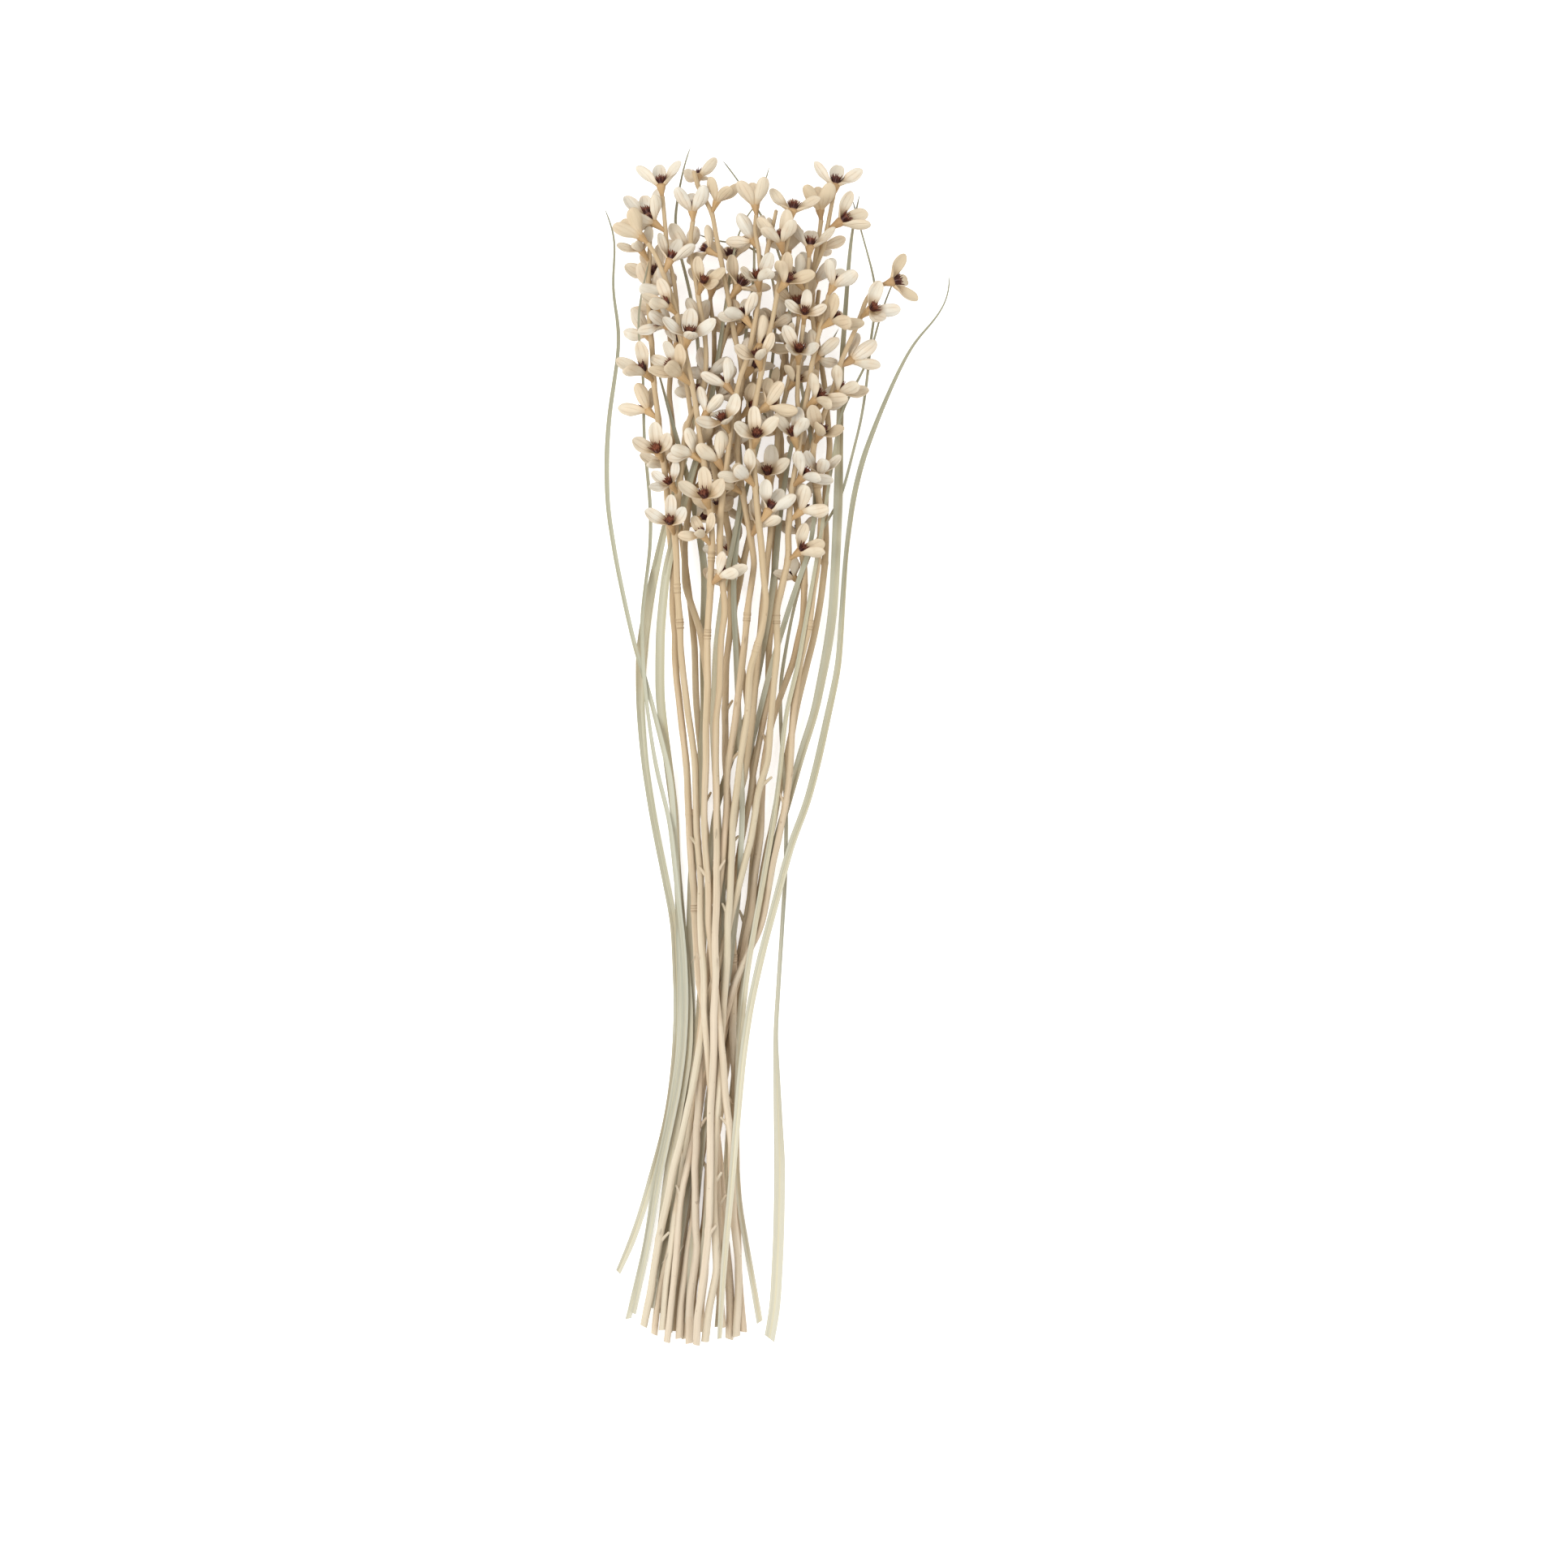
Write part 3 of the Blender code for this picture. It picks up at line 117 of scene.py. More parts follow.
# The stems in the order in which they were laid, lowest first. A path runs from the cut foot to the tip,
# on a plan grid whose unit is GRID. A branch has the height of its head's axis over the table, its width
# at the cut, the grid row where its capsules start, and the paths of its cane and twigs. A blade has one
# path, with its width as each corner's third number.
STEMS = {
    "branch_15": (0.0115, 8.0, 640,
        "862,1650 872,1480 880,1400 894,1300 893,1200 866,1000 854,800 838,660 828,610 827,560 829,530 "
        "823,480 827,430 822,385 812,345"),
    "branch_16": (0.0115, 8.0, 600,
        "850,1648 853,1600 870,1470 914,1200 930,1130 945,1040 1002,790 1012,730 1019,660 1018,600 "
        "1024,545 1018,480 1005,390 1010,352"),
    "grass_09": (
        "947,1662,12 955,1620,12 959,1540,12 961,1440,12 955,1280,5 968,1080,4 969,1000,4 962,900,4 "
        "961,840,4 975,760,3.5 993,690,3.5 1018,640,3 1036,615,3 1063,510,3 1071,450,3 1074,410,3 "
        "1082,365,2.5 1079,338,2.5 1051,238,1.5"),
    "grass_05": (
        "808,1630,8 832,1420,11 851,1300,8 851,1240,8 848,1180,9 851,1080,9 867,880,8 865,800,8 868,700,8 "
        "858,640,7 845,580,6 806,440,2"),
    "branch_14": (0.014, 7.5, 745,
        "842,1658 844,1600 855,1470 866,1400 922,1110 930,1020 928,940 923,880 908,790 905,750 928,630 "
        "930,600 921,545 922,495 934,440 930,410 923,385"),
    "grass_07": (
        "882,1645,5 886,1600,6 890,1500,7 897,1400,7 915,1220,7 930,1140,7 950,1060,8 990,920,9 "
        "1004,880,9 1020,800,10 1027,750,10 1034,600,10 1037,450,6 1048,300,4 1052,270,3 1060,233,1.5"),
    "branch_13": (0.018, 6.5, 700,
        "829,1649 832,1600 846,1480 884,1200 890,1100 881,1000 876,880 862,780 843,720 842,670 852,600 "
        "880,445 880,400 875,365"),
    "branch_12": (0.017, 7.0, 665,
        "804,1653 808,1620 869,1300 893,1200 914,1040 946,850 955,650 964,590 963,540 957,490 972,390 "
        "976,345 972,318"),
    "grass_06": (
        "818,1618,7 832,1480,9 857,1300,7 868,1120,7 880,1000,7 905,920,7 928,860,7 947,760,7 955,700,7 "
        "960,640,6 972,560,5 988,490,4 1006,450,4 1034,400,2"),
    "branch_10": (0.023, 8.0, 735,
        "835,1657 845,1550 866,1400 884,1300 915,1180 925,1130 937,1030 940,950 950,890 978,810 988,760 "
        "991,700 981,620 985,585 999,530 1006,470 1008,440 1000,385 1003,330 1012,268",
        "1003,330 1016,300 1027,238"),
    "grass_01": (
        "758,1577,6 775,1540,8 789,1500,8 817,1400,8 826,1350,8 831,1300,8 833,1240,8 829,1140,8 "
        "803,1010,8 792,940,8 786,870,9 788,800,13 797,740,11 824,620,6 842,570,5 856,510,4.5 861,440,4 "
        "856,390,4 846,340,3.5 832,290,3 829,262,3 842,192,2 850,172,1.5"),
    "branch_05": (0.024, 8.0, 655,
        "915,1650 906,1500 902,1200 893,880 900,750 901,670 878,570 870,520 872,495 899,390 905,355 "
        "902,328"),
    "grass_11": (
        "824,1650,5 830,1580,6 872,1300,6 890,1100,6 905,1000,6 950,820,6 975,740,6 1000,670,5 1005,620,5 "
        "1003,560,4 978,420,3.5 966,325,3 946,270,2.5 922,236,2.5 911,217,2 889,189,1.5"),
    "branch_07": (0.026, 7.5, 705,
        "814,1646 832,1500 848,1400 872,1200 907,1000 918,960 950,650 949,600 956,560 959,520 970,480 "
        "984,388"),
    "branch_09": (0.027, 7.0, 640,
        "820,1661 836,1500 866,1340 905,1210 935,1150 968,1000 977,870 1000,750 1007,700 1012,630 "
        "1001,570 1003,545 1028,475 1034,450 1060,390 1066,370 1075,356 1087,349"),
    "grass_12": (
        "845,1640,5 850,1560,6 866,1400,6 880,1300,6 898,1200,6 910,1100,6 915,1000,6 903,720,6 910,640,5 "
        "940,520,4 952,440,3.5 957,370,3 950,322,3 935,301,2.5 915,292,2 880,292,2 857,281,1.5"),
    "branch_01": (0.03, 9.0, 645,
        "897,1659 897,1600 887,1440 860,1200 853,1100 850,1000 831,800 829,720 821,600 805,470 798,345 "
        "801,278"),
    "grass_13": (
        "860,1630,5 866,1540,6 884,1350,6 890,1250,6 893,1150,6 877,900,6 881,800,6 890,730,6 905,660,5 "
        "915,600,5 910,540,4 910,480,4 918,410,3.5 930,330,3 928,285,2.5 931,258,2.5 948,198,1.5"),
    "grass_04": (
        "800,1620,7 826,1420,10 848,1300,8 848,1240,8 831,1060,9 830,1010,9 812,860,10 813,780,10 "
        "821,700,9 850,590,7 872,520,6 905,300,2.5 913,275,2 923,255,2 937,243,1.5"),
    "branch_06": (0.035, 9.0, 742,
        "848,1662 849,1620 857,1540 857,1400 870,1200 896,1000 898,940 930,695 908,560 910,500 914,470 "
        "912,440 905,415 893,340 881,290 877,262 859,229 855,211"),
    "branch_08": (0.036, 8.0, 700,
        "791,1642 811,1530 845,1380 880,1210 926,1030 944,940 958,800 958,750 972,690 971,660 976,600 "
        "1000,450 1021,364",
        "988,530 982,490 983,450 990,400 997,318"),
    "grass_10": (
        "936,1640,7 910,1490,6 906,1420,6 909,1300,6 920,1200,6 950,1030,6 960,960,5 968,880,5 983,820,5 "
        "1008,680,4 1036,505,3 1071,440,2.5 1089,372,2 1109,324,1.5"),
    "branch_02": (0.037, 8.0, 670,
        "890,1643 884,1540 882,1400 872,1300 866,1200 855,940 840,800 831,660 845,535 850,515 860,497 "
        "868,475 870,440 868,410 852,318 851,290 854,274",
        "850,515 842,440 836,410 831,350 823,315 816,243"),
    "grass_02": (
        "771,1636,6 795,1540,8 806,1460,8 820,1400,8 829,1350,8 836,1300,8 838,1240,8 834,1110,7 "
        "826,960,6 798,850,5 782,800,5 770,750,5 757,690,5 746,620,5 745,560,5.5 748,510,5 760,430,4 "
        "761,400,4 752,350,3 757,285,2.5 743,250,1.5"),
    "branch_11": (0.046, 8.5, 700,
        "868,1658 885,1565 878,1500 880,1400 889,1300 900,1060 905,1000 927,820 938,780 944,740 926,530 "
        "974,276"),
    "branch_03": (0.046, 8.0, 748,
        "907,1655 909,1560 898,1400 878,1200 871,1100 868,1000 869,890 878,660 876,630 857,500 835,390 "
        "828,365 810,320 799,303"),
    "grass_08": (
        "886,1654,5 892,1560,7 915,1300,8 924,1240,8 940,1170,8 975,1040,8 995,990,8 1010,930,8 "
        "1034,820,7 1043,680,5 1052,610,6 1064,560,6 1085,505,5 1108,453,4 1130,412,3 1150,394,2.5 "
        "1166,372,2 1174,350,1.5 1172,332,1.5"),
    "branch_04": (0.044, 8.0, 650,
        "857,1661 874,1500 884,1000 883,880 893,760 887,680 888,640 906,490 912,465 922,440 934,380 "
        "938,345 935,310 930,285 932,268",
        "938,345 956,262"),
    "grass_03": (
        "778,1628,5 797,1540,6 810,1460,6 834,1350,6 841,1300,6 844,1240,6 842,1180,6 824,1010,5 "
        "808,950,5 800,900,4 792,830,4 789,760,4 800,670,4 800,620,4 792,540,3.5 792,460,3 785,400,2.5 "
        "788,370,2.5 799,322,1.5"),
}
BARE_TIP = "branch_06"
CANES = sorted(name for name in STEMS if name.startswith("branch"))
BLADES = sorted(set(STEMS) - set(CANES))

# Which of its possible directions each capsule and stub takes, in the order in which they are placed.
# Directions are counted from 0 in order of choice, and those before the one taken are more crowded.
# A dash stands for a capsule or stub that finds no room.
END_TRIES = (
    "5 - - 1 0 2 0 6 5 1 2 1 0 2 0 0 2 2 -")
SIDE_TRIES = (
    "12 0 0 0 10 0 10 1 12 0 16 0 0 0 16 60 2 0 10 0 5 0 12 3 14 76 0 0 0 20 - 6 36 20 2 - 10 12 10 0 6 0 "
    "13 6 22 16 12 44 2 0 18 54 28 36 17 6 32 36 52 - 48 23 2 2 6 0 - 18 3 1 4 18 104 30 92 12 - - 14 - "
    "32 22 0 25 38 19 1 - 35 46 7 45 16 116 100 - 20 - 30 56 - 74 56 54 56 40 74 90 57 102 - 96 10 18 34 "
    "8 - - 8 - 56 92 - - -")
STUB_TRIES = (
    "- 0 0 1 0 - 0 - 0 - 0 1 0 0 0 1 1 0 0 0 0 0 0 1 1 0 0 0 1 0 1 1 0 0 2")


def plan(x, y):
    """A grid point in metres."""
    return (x - GRID_MID[0]) * GRID, (GRID_MID[1] - y) * GRID


def corners_of(path):
    """The corners of a path in metres, each with its width where it has one."""
    spots = [[float(number) for number in spot.split(",")] for spot in path.split()]
    return [(*plan(x, y), *[w * GRID for w in width]) for x, y, *width in spots]


def smoothstep(x):
    x = min(max(x, 0.0), 1.0)
    return x * x * (3.0 - 2.0 * x)


class Rod:
    """A cane, twig or blade: a plan line with corners, a half width, a radius and a height."""

    def __init__(self, name, corners, kind):
        self.name, self.kind = name, kind
        line = np.array([c[:2] for c in corners])
        legs = np.linalg.norm(np.diff(line, axis=0), axis=1)
        self.corners = np.concatenate([[0.0], np.cumsum(legs)])
        self.length = float(self.corners[-1])
        self.s = np.linspace(0.0, self.length, int(math.ceil(self.length / STEP)) + 1)
        self.xy = np.stack([np.interp(self.s, self.corners, line[:, k]) for k in (0, 1)], axis=1)
        self.flat = np.zeros(len(self.s))
        self.capsules, self.stubs = [], []

    def read(self, values, s):
        return float(np.interp(s, self.s, values))

    def point(self, s):
        return Vector((self.read(self.xy[:, 0], s), self.read(self.xy[:, 1], s), self.read(self.z, s)))

    def heading(self, s):
        a, b = max(0.0, s - HEADING_REACH), min(self.length, s + HEADING_REACH)
        return (self.point(b) - self.point(a)).normalized()

    def rise(self, start, run):
        """How far the rod has left the table at each point, from 0 to 1."""
        return np.array([smoothstep((y - start) / run) for y in self.xy[:, 1]])

    def settle(self, floor, laid, bend):
        """Rest on all that lies under: bridge between supports with a limited bend."""
        low = np.array(floor, dtype=float)
        for other in laid:
            d = np.linalg.norm(self.xy[:, None, :] - other.xy[None, :, :], axis=2)
            d = np.maximum(0.0, d - self.flat[:, None] - other.flat[None, :])
            reach = self.radius[:, None] + other.radius[None, :] + GAP
            lift = other.z[None, :] + np.sqrt(np.maximum(reach ** 2 - d ** 2, 0.0))
            low = np.maximum(low, np.where(d < reach, lift, -1.0).max(axis=1))
        gap = self.s[:, None] - self.s[None, :]
        arch = np.max(low[None, :] - 0.5 * bend * gap ** 2, axis=1)
        weight = np.exp(-0.5 * (gap / (BLADE_EASE if self.kind == "blade" else CANE_EASE)) ** 2)
        self.z = np.maximum((weight @ arch) / weight.sum(axis=1), low)


def half_height(sides):
    """Height of the axis over a flat side, per unit of radius."""
    return math.cos(math.pi / sides)


def lay_cane(laid, name, lift, foot, bare, path, *twigs):
    """A cane and its twigs, which start where they meet it."""
    cane = Rod(name, corners_of(path), "cane")
    started = np.nonzero(cane.xy[:, 1] >= (GRID_MID[1] - bare) * GRID)[0]
    cane.head = float(cane.s[started[0]])
    cane.radius = np.interp(cane.s, [0.0, cane.head, cane.length],
                            [0.5 * foot * GRID, HEAD_RADIUS, TIP_RADIUS])
    base = cane.radius * half_height(CANE_SIDES)
    cane.settle(base + np.maximum(0.0, lift - base) * cane.rise(*CANE_RISE), laid, BEND)
    rods = [cane]
    for path in twigs:
        line = corners_of(path)
        near = int(np.argmin(np.linalg.norm(cane.xy - np.array(line[0]), axis=1)))
        twig = Rod(name, [tuple(cane.xy[near])] + line[1:], "twig")
        twig.head = TWIG_BARE
        twig.radius = np.interp(twig.s, [0.0, twig.length], [TWIG_RADIUS, TIP_RADIUS])
        twig.settle(np.full(len(twig.s), cane.z[near]), laid, TWIG_BEND)
        twig.z = cane.z[near] + (twig.z - cane.z[near]) * np.clip(twig.s / TWIG_EASE, 0.0, 1.0)
        rods.append(twig)
    return rods


def lay_blade(laid, name, path):
    """A blade, given as a list of one to match a cane with its twigs."""
    corners = corners_of(path)
    blade = Rod(name, corners, "blade")
    blade.radius = np.full(len(blade.s), BLADE_HALF_THICKNESS + BLADE_ROOM)
    blade.width = np.maximum(np.interp(blade.s, blade.corners, [c[2] for c in corners]),
                             BLADE_LEAST_WIDTH)
    blade.flat = np.maximum(0.0, 0.5 * blade.width - BLADE_HALF_THICKNESS)
    blade.settle(BLADE_HALF_THICKNESS + BLADE_LIFT * blade.rise(*BLADE_RISE), laid, BEND)
    return [blade]


def frame_of(axis, hint):
    """Two unit vectors across an axis, right-handed with it."""
    p = (hint - axis * hint.dot(axis)).normalized()
    return p, axis.cross(p)


class Capsule:
    """A stalk that widens to a cup, thick valves spread round its rim, and a tuft between them."""

    def __init__(self, s, root, axis, hint, spin, sides, valves, size, spread, length):
        self.s, self.root, self.axis, self.sides, self.size = s, root, axis.normalized(), sides, size
        self.valves, self.spread, self.spin = valves, spread, spin
        self.cup = root + self.axis * (STALK_LENGTH * length)
        self.p, self.q = frame_of(self.axis, hint)

    def way(self, angle):
        return self.p * math.cos(angle) + self.q * math.sin(angle)

    def side_way(self, k):
        """The direction of one flat side of the cup."""
        return self.way(self.spin + math.tau * k / self.sides + math.pi / self.sides)

    def drop_one(self, upper):
        """Most capsules have three valves: none on the side turned most up or most to the table."""
        out = [self.side_way(k).z for k in range(4)]
        gone = min(range(4), key=lambda k: round(-out[k] if upper else out[k], 6))
        self.valves = tuple(k for k in range(4) if k != gone)

    def valve(self, k):
        """Foot, middle and end of a valve, with its side and outer directions."""
        out = self.side_way(k)
        rim = CUP_RADIUS * self.size * half_height(self.sides) * 1.3
        foot = self.cup + self.axis * (0.5 * COLLAR) + out * rim
        lower, upper = (self.axis * math.cos(angle) + out * math.sin(angle)
                        for angle in (self.spread[k] * share for share in VALVE_LEANS))
        reach = VALVE_LENGTH * self.size * 0.5
        middle = foot + lower * reach
        side = self.axis.cross(out).normalized()
        back = lower.cross(side).normalized()
        if back.dot(out) <= 0.0:
            back = -back
        return foot, middle, middle + upper * reach, side, back


def spread_of(rnd, sides):
    """How far each valve of a capsule leans out."""
    base = math.radians(rnd.uniform(*VALVE_SPREAD))
    return [base * rnd.uniform(0.85, 1.2) for _ in range(sides)]


def end_capsule(rod, rnd, upper, tries):
    """A capsule at the tip of a twig, open on its upper side or closed there."""
    sides = CANE_SIDES if rod.kind == "cane" else 4
    spread = spread_of(rnd, sides)
    if tries == "-":
        return
    spins = (2.83, -0.942) if sides == CANE_SIDES else (2.36, -1.42)
    valves = (1, 2, 4) if sides == CANE_SIDES and not upper else (0, 1, 2)
    tilt, lean = divmod(int(tries), 3)
    t = rod.heading(rod.length)
    axis = (t + UP * (0.0, 0.3, -0.3, 0.55)[tilt] + t.cross(UP) * (0.0, 0.25, -0.25)[lean]).normalized()
    rod.capsules.append(Capsule(rod.length, rod.point(rod.length), axis, UP.cross(axis),
                                spins[0 if upper else 1], sides, valves, 1.05, spread, 0.75))


def side_ways(rod, s):
    """Outward directions of a rod's sides, its lowest side flat to the table."""
    t = rod.heading(s)
    up = (UP - t * t.z).normalized()
    a = up.cross(t)
    sides = CANE_SIDES if rod.kind == "cane" else 4
    start = -math.pi / 2 + math.pi / sides
    return [a * math.cos(start + math.tau * (k + 0.5) / sides)
            + up * math.sin(start + math.tau * (k + 0.5) / sides) for k in range(sides)], t


def side_capsule(rod, s, turn, rnd, upper, tries):
    """Turn a capsule to the free direction nearest to its turn; a crowded one stays smaller."""
    ways, t = side_ways(rod, s)
    spread = spread_of(rnd, 4)
    lean = rnd.uniform(0.62, 0.88)
    full = rnd.uniform(0.90, 1.08)
    four = rnd.random() < FOUR_VALVES_SHARE
    if tries == "-":
        return
    forward = ways[0].cross(ways[1]).normalized()
    want = ways[0] * math.cos(turn) + forward.cross(ways[0]) * math.sin(turn)
    turns = []
    for out in ways:
        for swing in (-0.4, 0.0, 0.4):
            way = (out + t.cross(out) * swing).normalized()
            turns.append((-round(way.dot(want), 6), out, way))
    turns.sort(key=lambda turned: turned[0])
    stage, left = divmod(int(tries), 2 * len(turns))
    size, up = ((full, upper), (full * 0.86, upper), (full * 0.86, False), (full * 0.74, False))[stage]
    _, out, way = turns[left // 2]
    tip = lean * (1.0, 0.72)[left % 2]
    root = rod.point(s) + out * (rod.read(rod.radius, s) * half_height(len(ways)) * 0.9)
    item = Capsule(s, root, t * math.cos(tip) + way * math.sin(tip), t, math.pi / 4 if up else 0.2,
                   4, (0, 1, 2, 3), size, spread, size)
    if not four:
        item.drop_one(up)
    rod.capsules.append(item)


def place_capsules(rods):
    """Capsules stand at the tips of the twigs, and alternately along them."""
    rnd, opens = random.Random(SEED), random.Random(SEED + 2)
    tries = iter(END_TRIES.split())
    for rod in rods:
        if rod.kind != "blade" and not bare_tip(rod):
            end_capsule(rod, rnd, opens.random() < OPEN_SHARE, next(tries))
    sites = []
    for rod in rods:
        if rod.kind == "blade":
            continue
        s = rod.length - (FIRST_ON_BARE_TIP if bare_tip(rod) else FIRST_CAPSULE)
        turn = rnd.uniform(0.0, math.tau)
        while s > rod.head:
            near = min(rod.corners, key=lambda c: abs(c - s))
            if abs(near - s) < CORNER_PULL and near < rod.length - CORNER_LEAVE:
                s = float(near)
            sites.append((rod, s, turn))
            turn += math.pi + rnd.uniform(-0.7, 0.7)
            s -= CAPSULE_SPACING * rnd.uniform(0.86, 1.14)
    sites.sort(key=lambda site: -round(site[0].read(site[0].z, site[1]), 4))
    for site, found in zip(sites, SIDE_TRIES.split()):
        side_capsule(*site, rnd, opens.random() < OPEN_SHARE, found)


def bare_tip(rod):
    """One cane ends in a broken tip, with no capsule on it."""
    return rod.kind == "cane" and rod.name == BARE_TIP


def place_stubs(rods):
    """Cut side twigs stand on the bare canes where there is room."""
    rnd = random.Random(SEED + 1)
    tries = iter(STUB_TRIES.split())
    for rod in rods:
        if rod.kind != "cane":
            continue
        s = rnd.uniform(*STUB_START)
        while s < rod.head - STUB_MARGIN:
            ways, t = side_ways(rod, s)
            long = rnd.uniform(*STUB_LENGTH)
            order = sorted(range(1, len(ways) - 1), key=lambda k: rnd.random()) + [0]
            found = next(tries)
            if found != "-":
                rod.stubs.append((s, (ways[order[int(found)]] + t * 0.75).normalized(), long))
            s += rnd.uniform(*STUB_SPACING)


# Looks of the canes. SCARS has the points along each cane that carry raised rings.
CANE_SIDES_SHOWN = 14
CANE_STEP = 0.0024
CANE_SKIN = 0.00028
TWIG_SKIN = 0.00018
KINK = (0.0010, 0.0, 0.0003)
KINK_PITCH = 0.024
SCARS = {"branch_01": (102,), "branch_02": (173, 165), "branch_03": (183, 165), "branch_05": (88,),
         "branch_06": (171,), "branch_08": (169,), "branch_09": (172, 205), "branch_11": (163,)}
SCAR_RINGS = 4
SCAR_PITCH = 0.0016

# Valve form: its rings from foot to tip, where it is widest and how wide its foot is, as shares of the
# whole, and the pair of grooves down its back, as shares of its half width and thickness.
VALVE_SIDES = 16
VALVE_ROWS = (0.0, 0.07, 0.16, 0.27, 0.39, 0.52, 0.64, 0.75, 0.84, 0.91, 0.96, 0.99, 1.0)
VALVE_WIDEST = 0.52
VALVE_FOOT = 0.42
GROOVE_PLACE = 0.38
GROOVE_DEPTH = 0.24

# The cup's rings from the cane to the rim, each with its share of the way and its radius.
CUP_ROWS = ((0.0, 0.0012), (0.16, 0.00118), (0.32, 0.00128), (0.50, 0.00160), (0.66, 0.00205),
            (0.80, 0.00245), (0.92, 0.00270), (1.0, 0.00225))
CUP_SIDES_SHOWN = 12
TUFT_BRISTLES = 30

# Snags are given by how far along each ring is and how wide, as shares, and by the splinters round the
# end. A blade's section has each point's share across, along the fold and through the thickness.
SHREDS = 2
PITH_DEPTH = 0.0026
WORN_END = 0.0006
SNAG_ROWS = ((0.0, 0.62), (0.30, 0.60), (0.52, 0.47), (0.76, 0.40), (0.93, 0.36))
SNAG_SPLINTERS = (1.3, 0.9, 0.3, 0.0, -0.2, 0.1, 0.6, 1.1)
BLADE_WIDENING = 1.14
BLADE_STEP = 0.0030
BLADE_SECTION = ((1.0, 1.0, 0.0), (0.52, 0.35, 1.0), (0.0, -0.55, 0.8), (-0.52, 0.35, 1.0),
                 (-1.0, 1.0, 0.0), (-0.52, 0.35, -1.0), (0.0, -0.55, -1.3), (0.52, 0.35, -1.0))

# A place is deep when many points of the bunch stand over it: how far off, how much higher,
# and how many of them make it all but hidden. The finishes darken deep places as painted shade.
ROOF_REACH = 0.0050
ROOF_OVER = 0.0030
ROOF_COUNT = 8.0


@functools.lru_cache(maxsize=None)
def bunch():
    """The laid rods with their capsules, stubs and scars, worked out once."""
    rods = []
    for name, stem in STEMS.items():
        rods += lay_cane(rods, name, *stem) if name in CANES else lay_blade(rods, name, stem)
    place_capsules(rods)
    place_stubs(rods)
    for rod in rods:
        rod.scars = [float(rod.s[k]) for k in SCARS.get(rod.name, ())] if rod.kind == "cane" else []
        line = np.column_stack([rod.xy, rod.z])
        if rod.kind == "cane":
            line += kinks(rod)
        rod.line = soften(line, 3.2 if rod.kind == "blade" else 1.1)
    return rods


def kinks(rod):
    """Small steps to the side along a cane, straight from node to node."""
    rnd = np.random.default_rng(int(rod.name[-2:]))
    knots = np.arange(0.0, rod.length + KINK_PITCH, KINK_PITCH)
    steps = rnd.uniform(-1.0, 1.0, (len(knots), 3)) * KINK
    steps[knots > rod.head] *= 0.4
    steps[0] = steps[-1] = 0.0
    knots += rnd.uniform(-0.35, 0.35, len(knots)) * KINK_PITCH
    return np.column_stack([np.interp(rod.s, knots, steps[:, k]) for k in range(3)])


@functools.lru_cache(maxsize=None)
def roof():
    """Points all over the bunch."""
    points = [rod.line for rod in bunch()]
    for rod in bunch():
        for item in rod.capsules:
            points += [np.array(item.valve(k)[1:3]) for k in item.valves]
    return np.vstack(points)


def depth_at(place):
    """How deep a place lies in the bunch: 0 on top, 1 under many stems. It sets how much painted shade a
    place gets.
    """
    points = roof()
    off = np.hypot(points[:, 0] - place.x, points[:, 1] - place.y)
    count = np.count_nonzero((off < ROOF_REACH) & (points[:, 2] > place.z + ROOF_OVER))
    return 1.0 - math.exp(-count / ROOF_COUNT)


def soften(line, spread):
    """A line with its corners rounded and its two ends kept."""
    reach = int(math.ceil(3 * spread))
    before = 2 * line[0] - line[reach:0:-1]
    after = 2 * line[-1] - line[-2:-reach - 2:-1]
    padded = np.vstack([before, line, after])
    weight = np.exp(-0.5 * (np.arange(-reach, reach + 1) / spread) ** 2)
    weight /= weight.sum()
    return np.column_stack([np.convolve(padded[:, k], weight, mode="valid") for k in range(3)])


def spine(rod, s):
    """Centre, side, up and forward directions of a rod at a distance along it."""
    def at(where):
        return Vector([float(np.interp(where, rod.s, rod.line[:, k])) for k in range(3)])
    a, b = max(0.0, s - 0.002), min(rod.length, s + 0.002)
    forward = (at(b) - at(a)).normalized()
    up = (UP - forward * forward.z).normalized()
    return at(s), up.cross(forward), up, forward


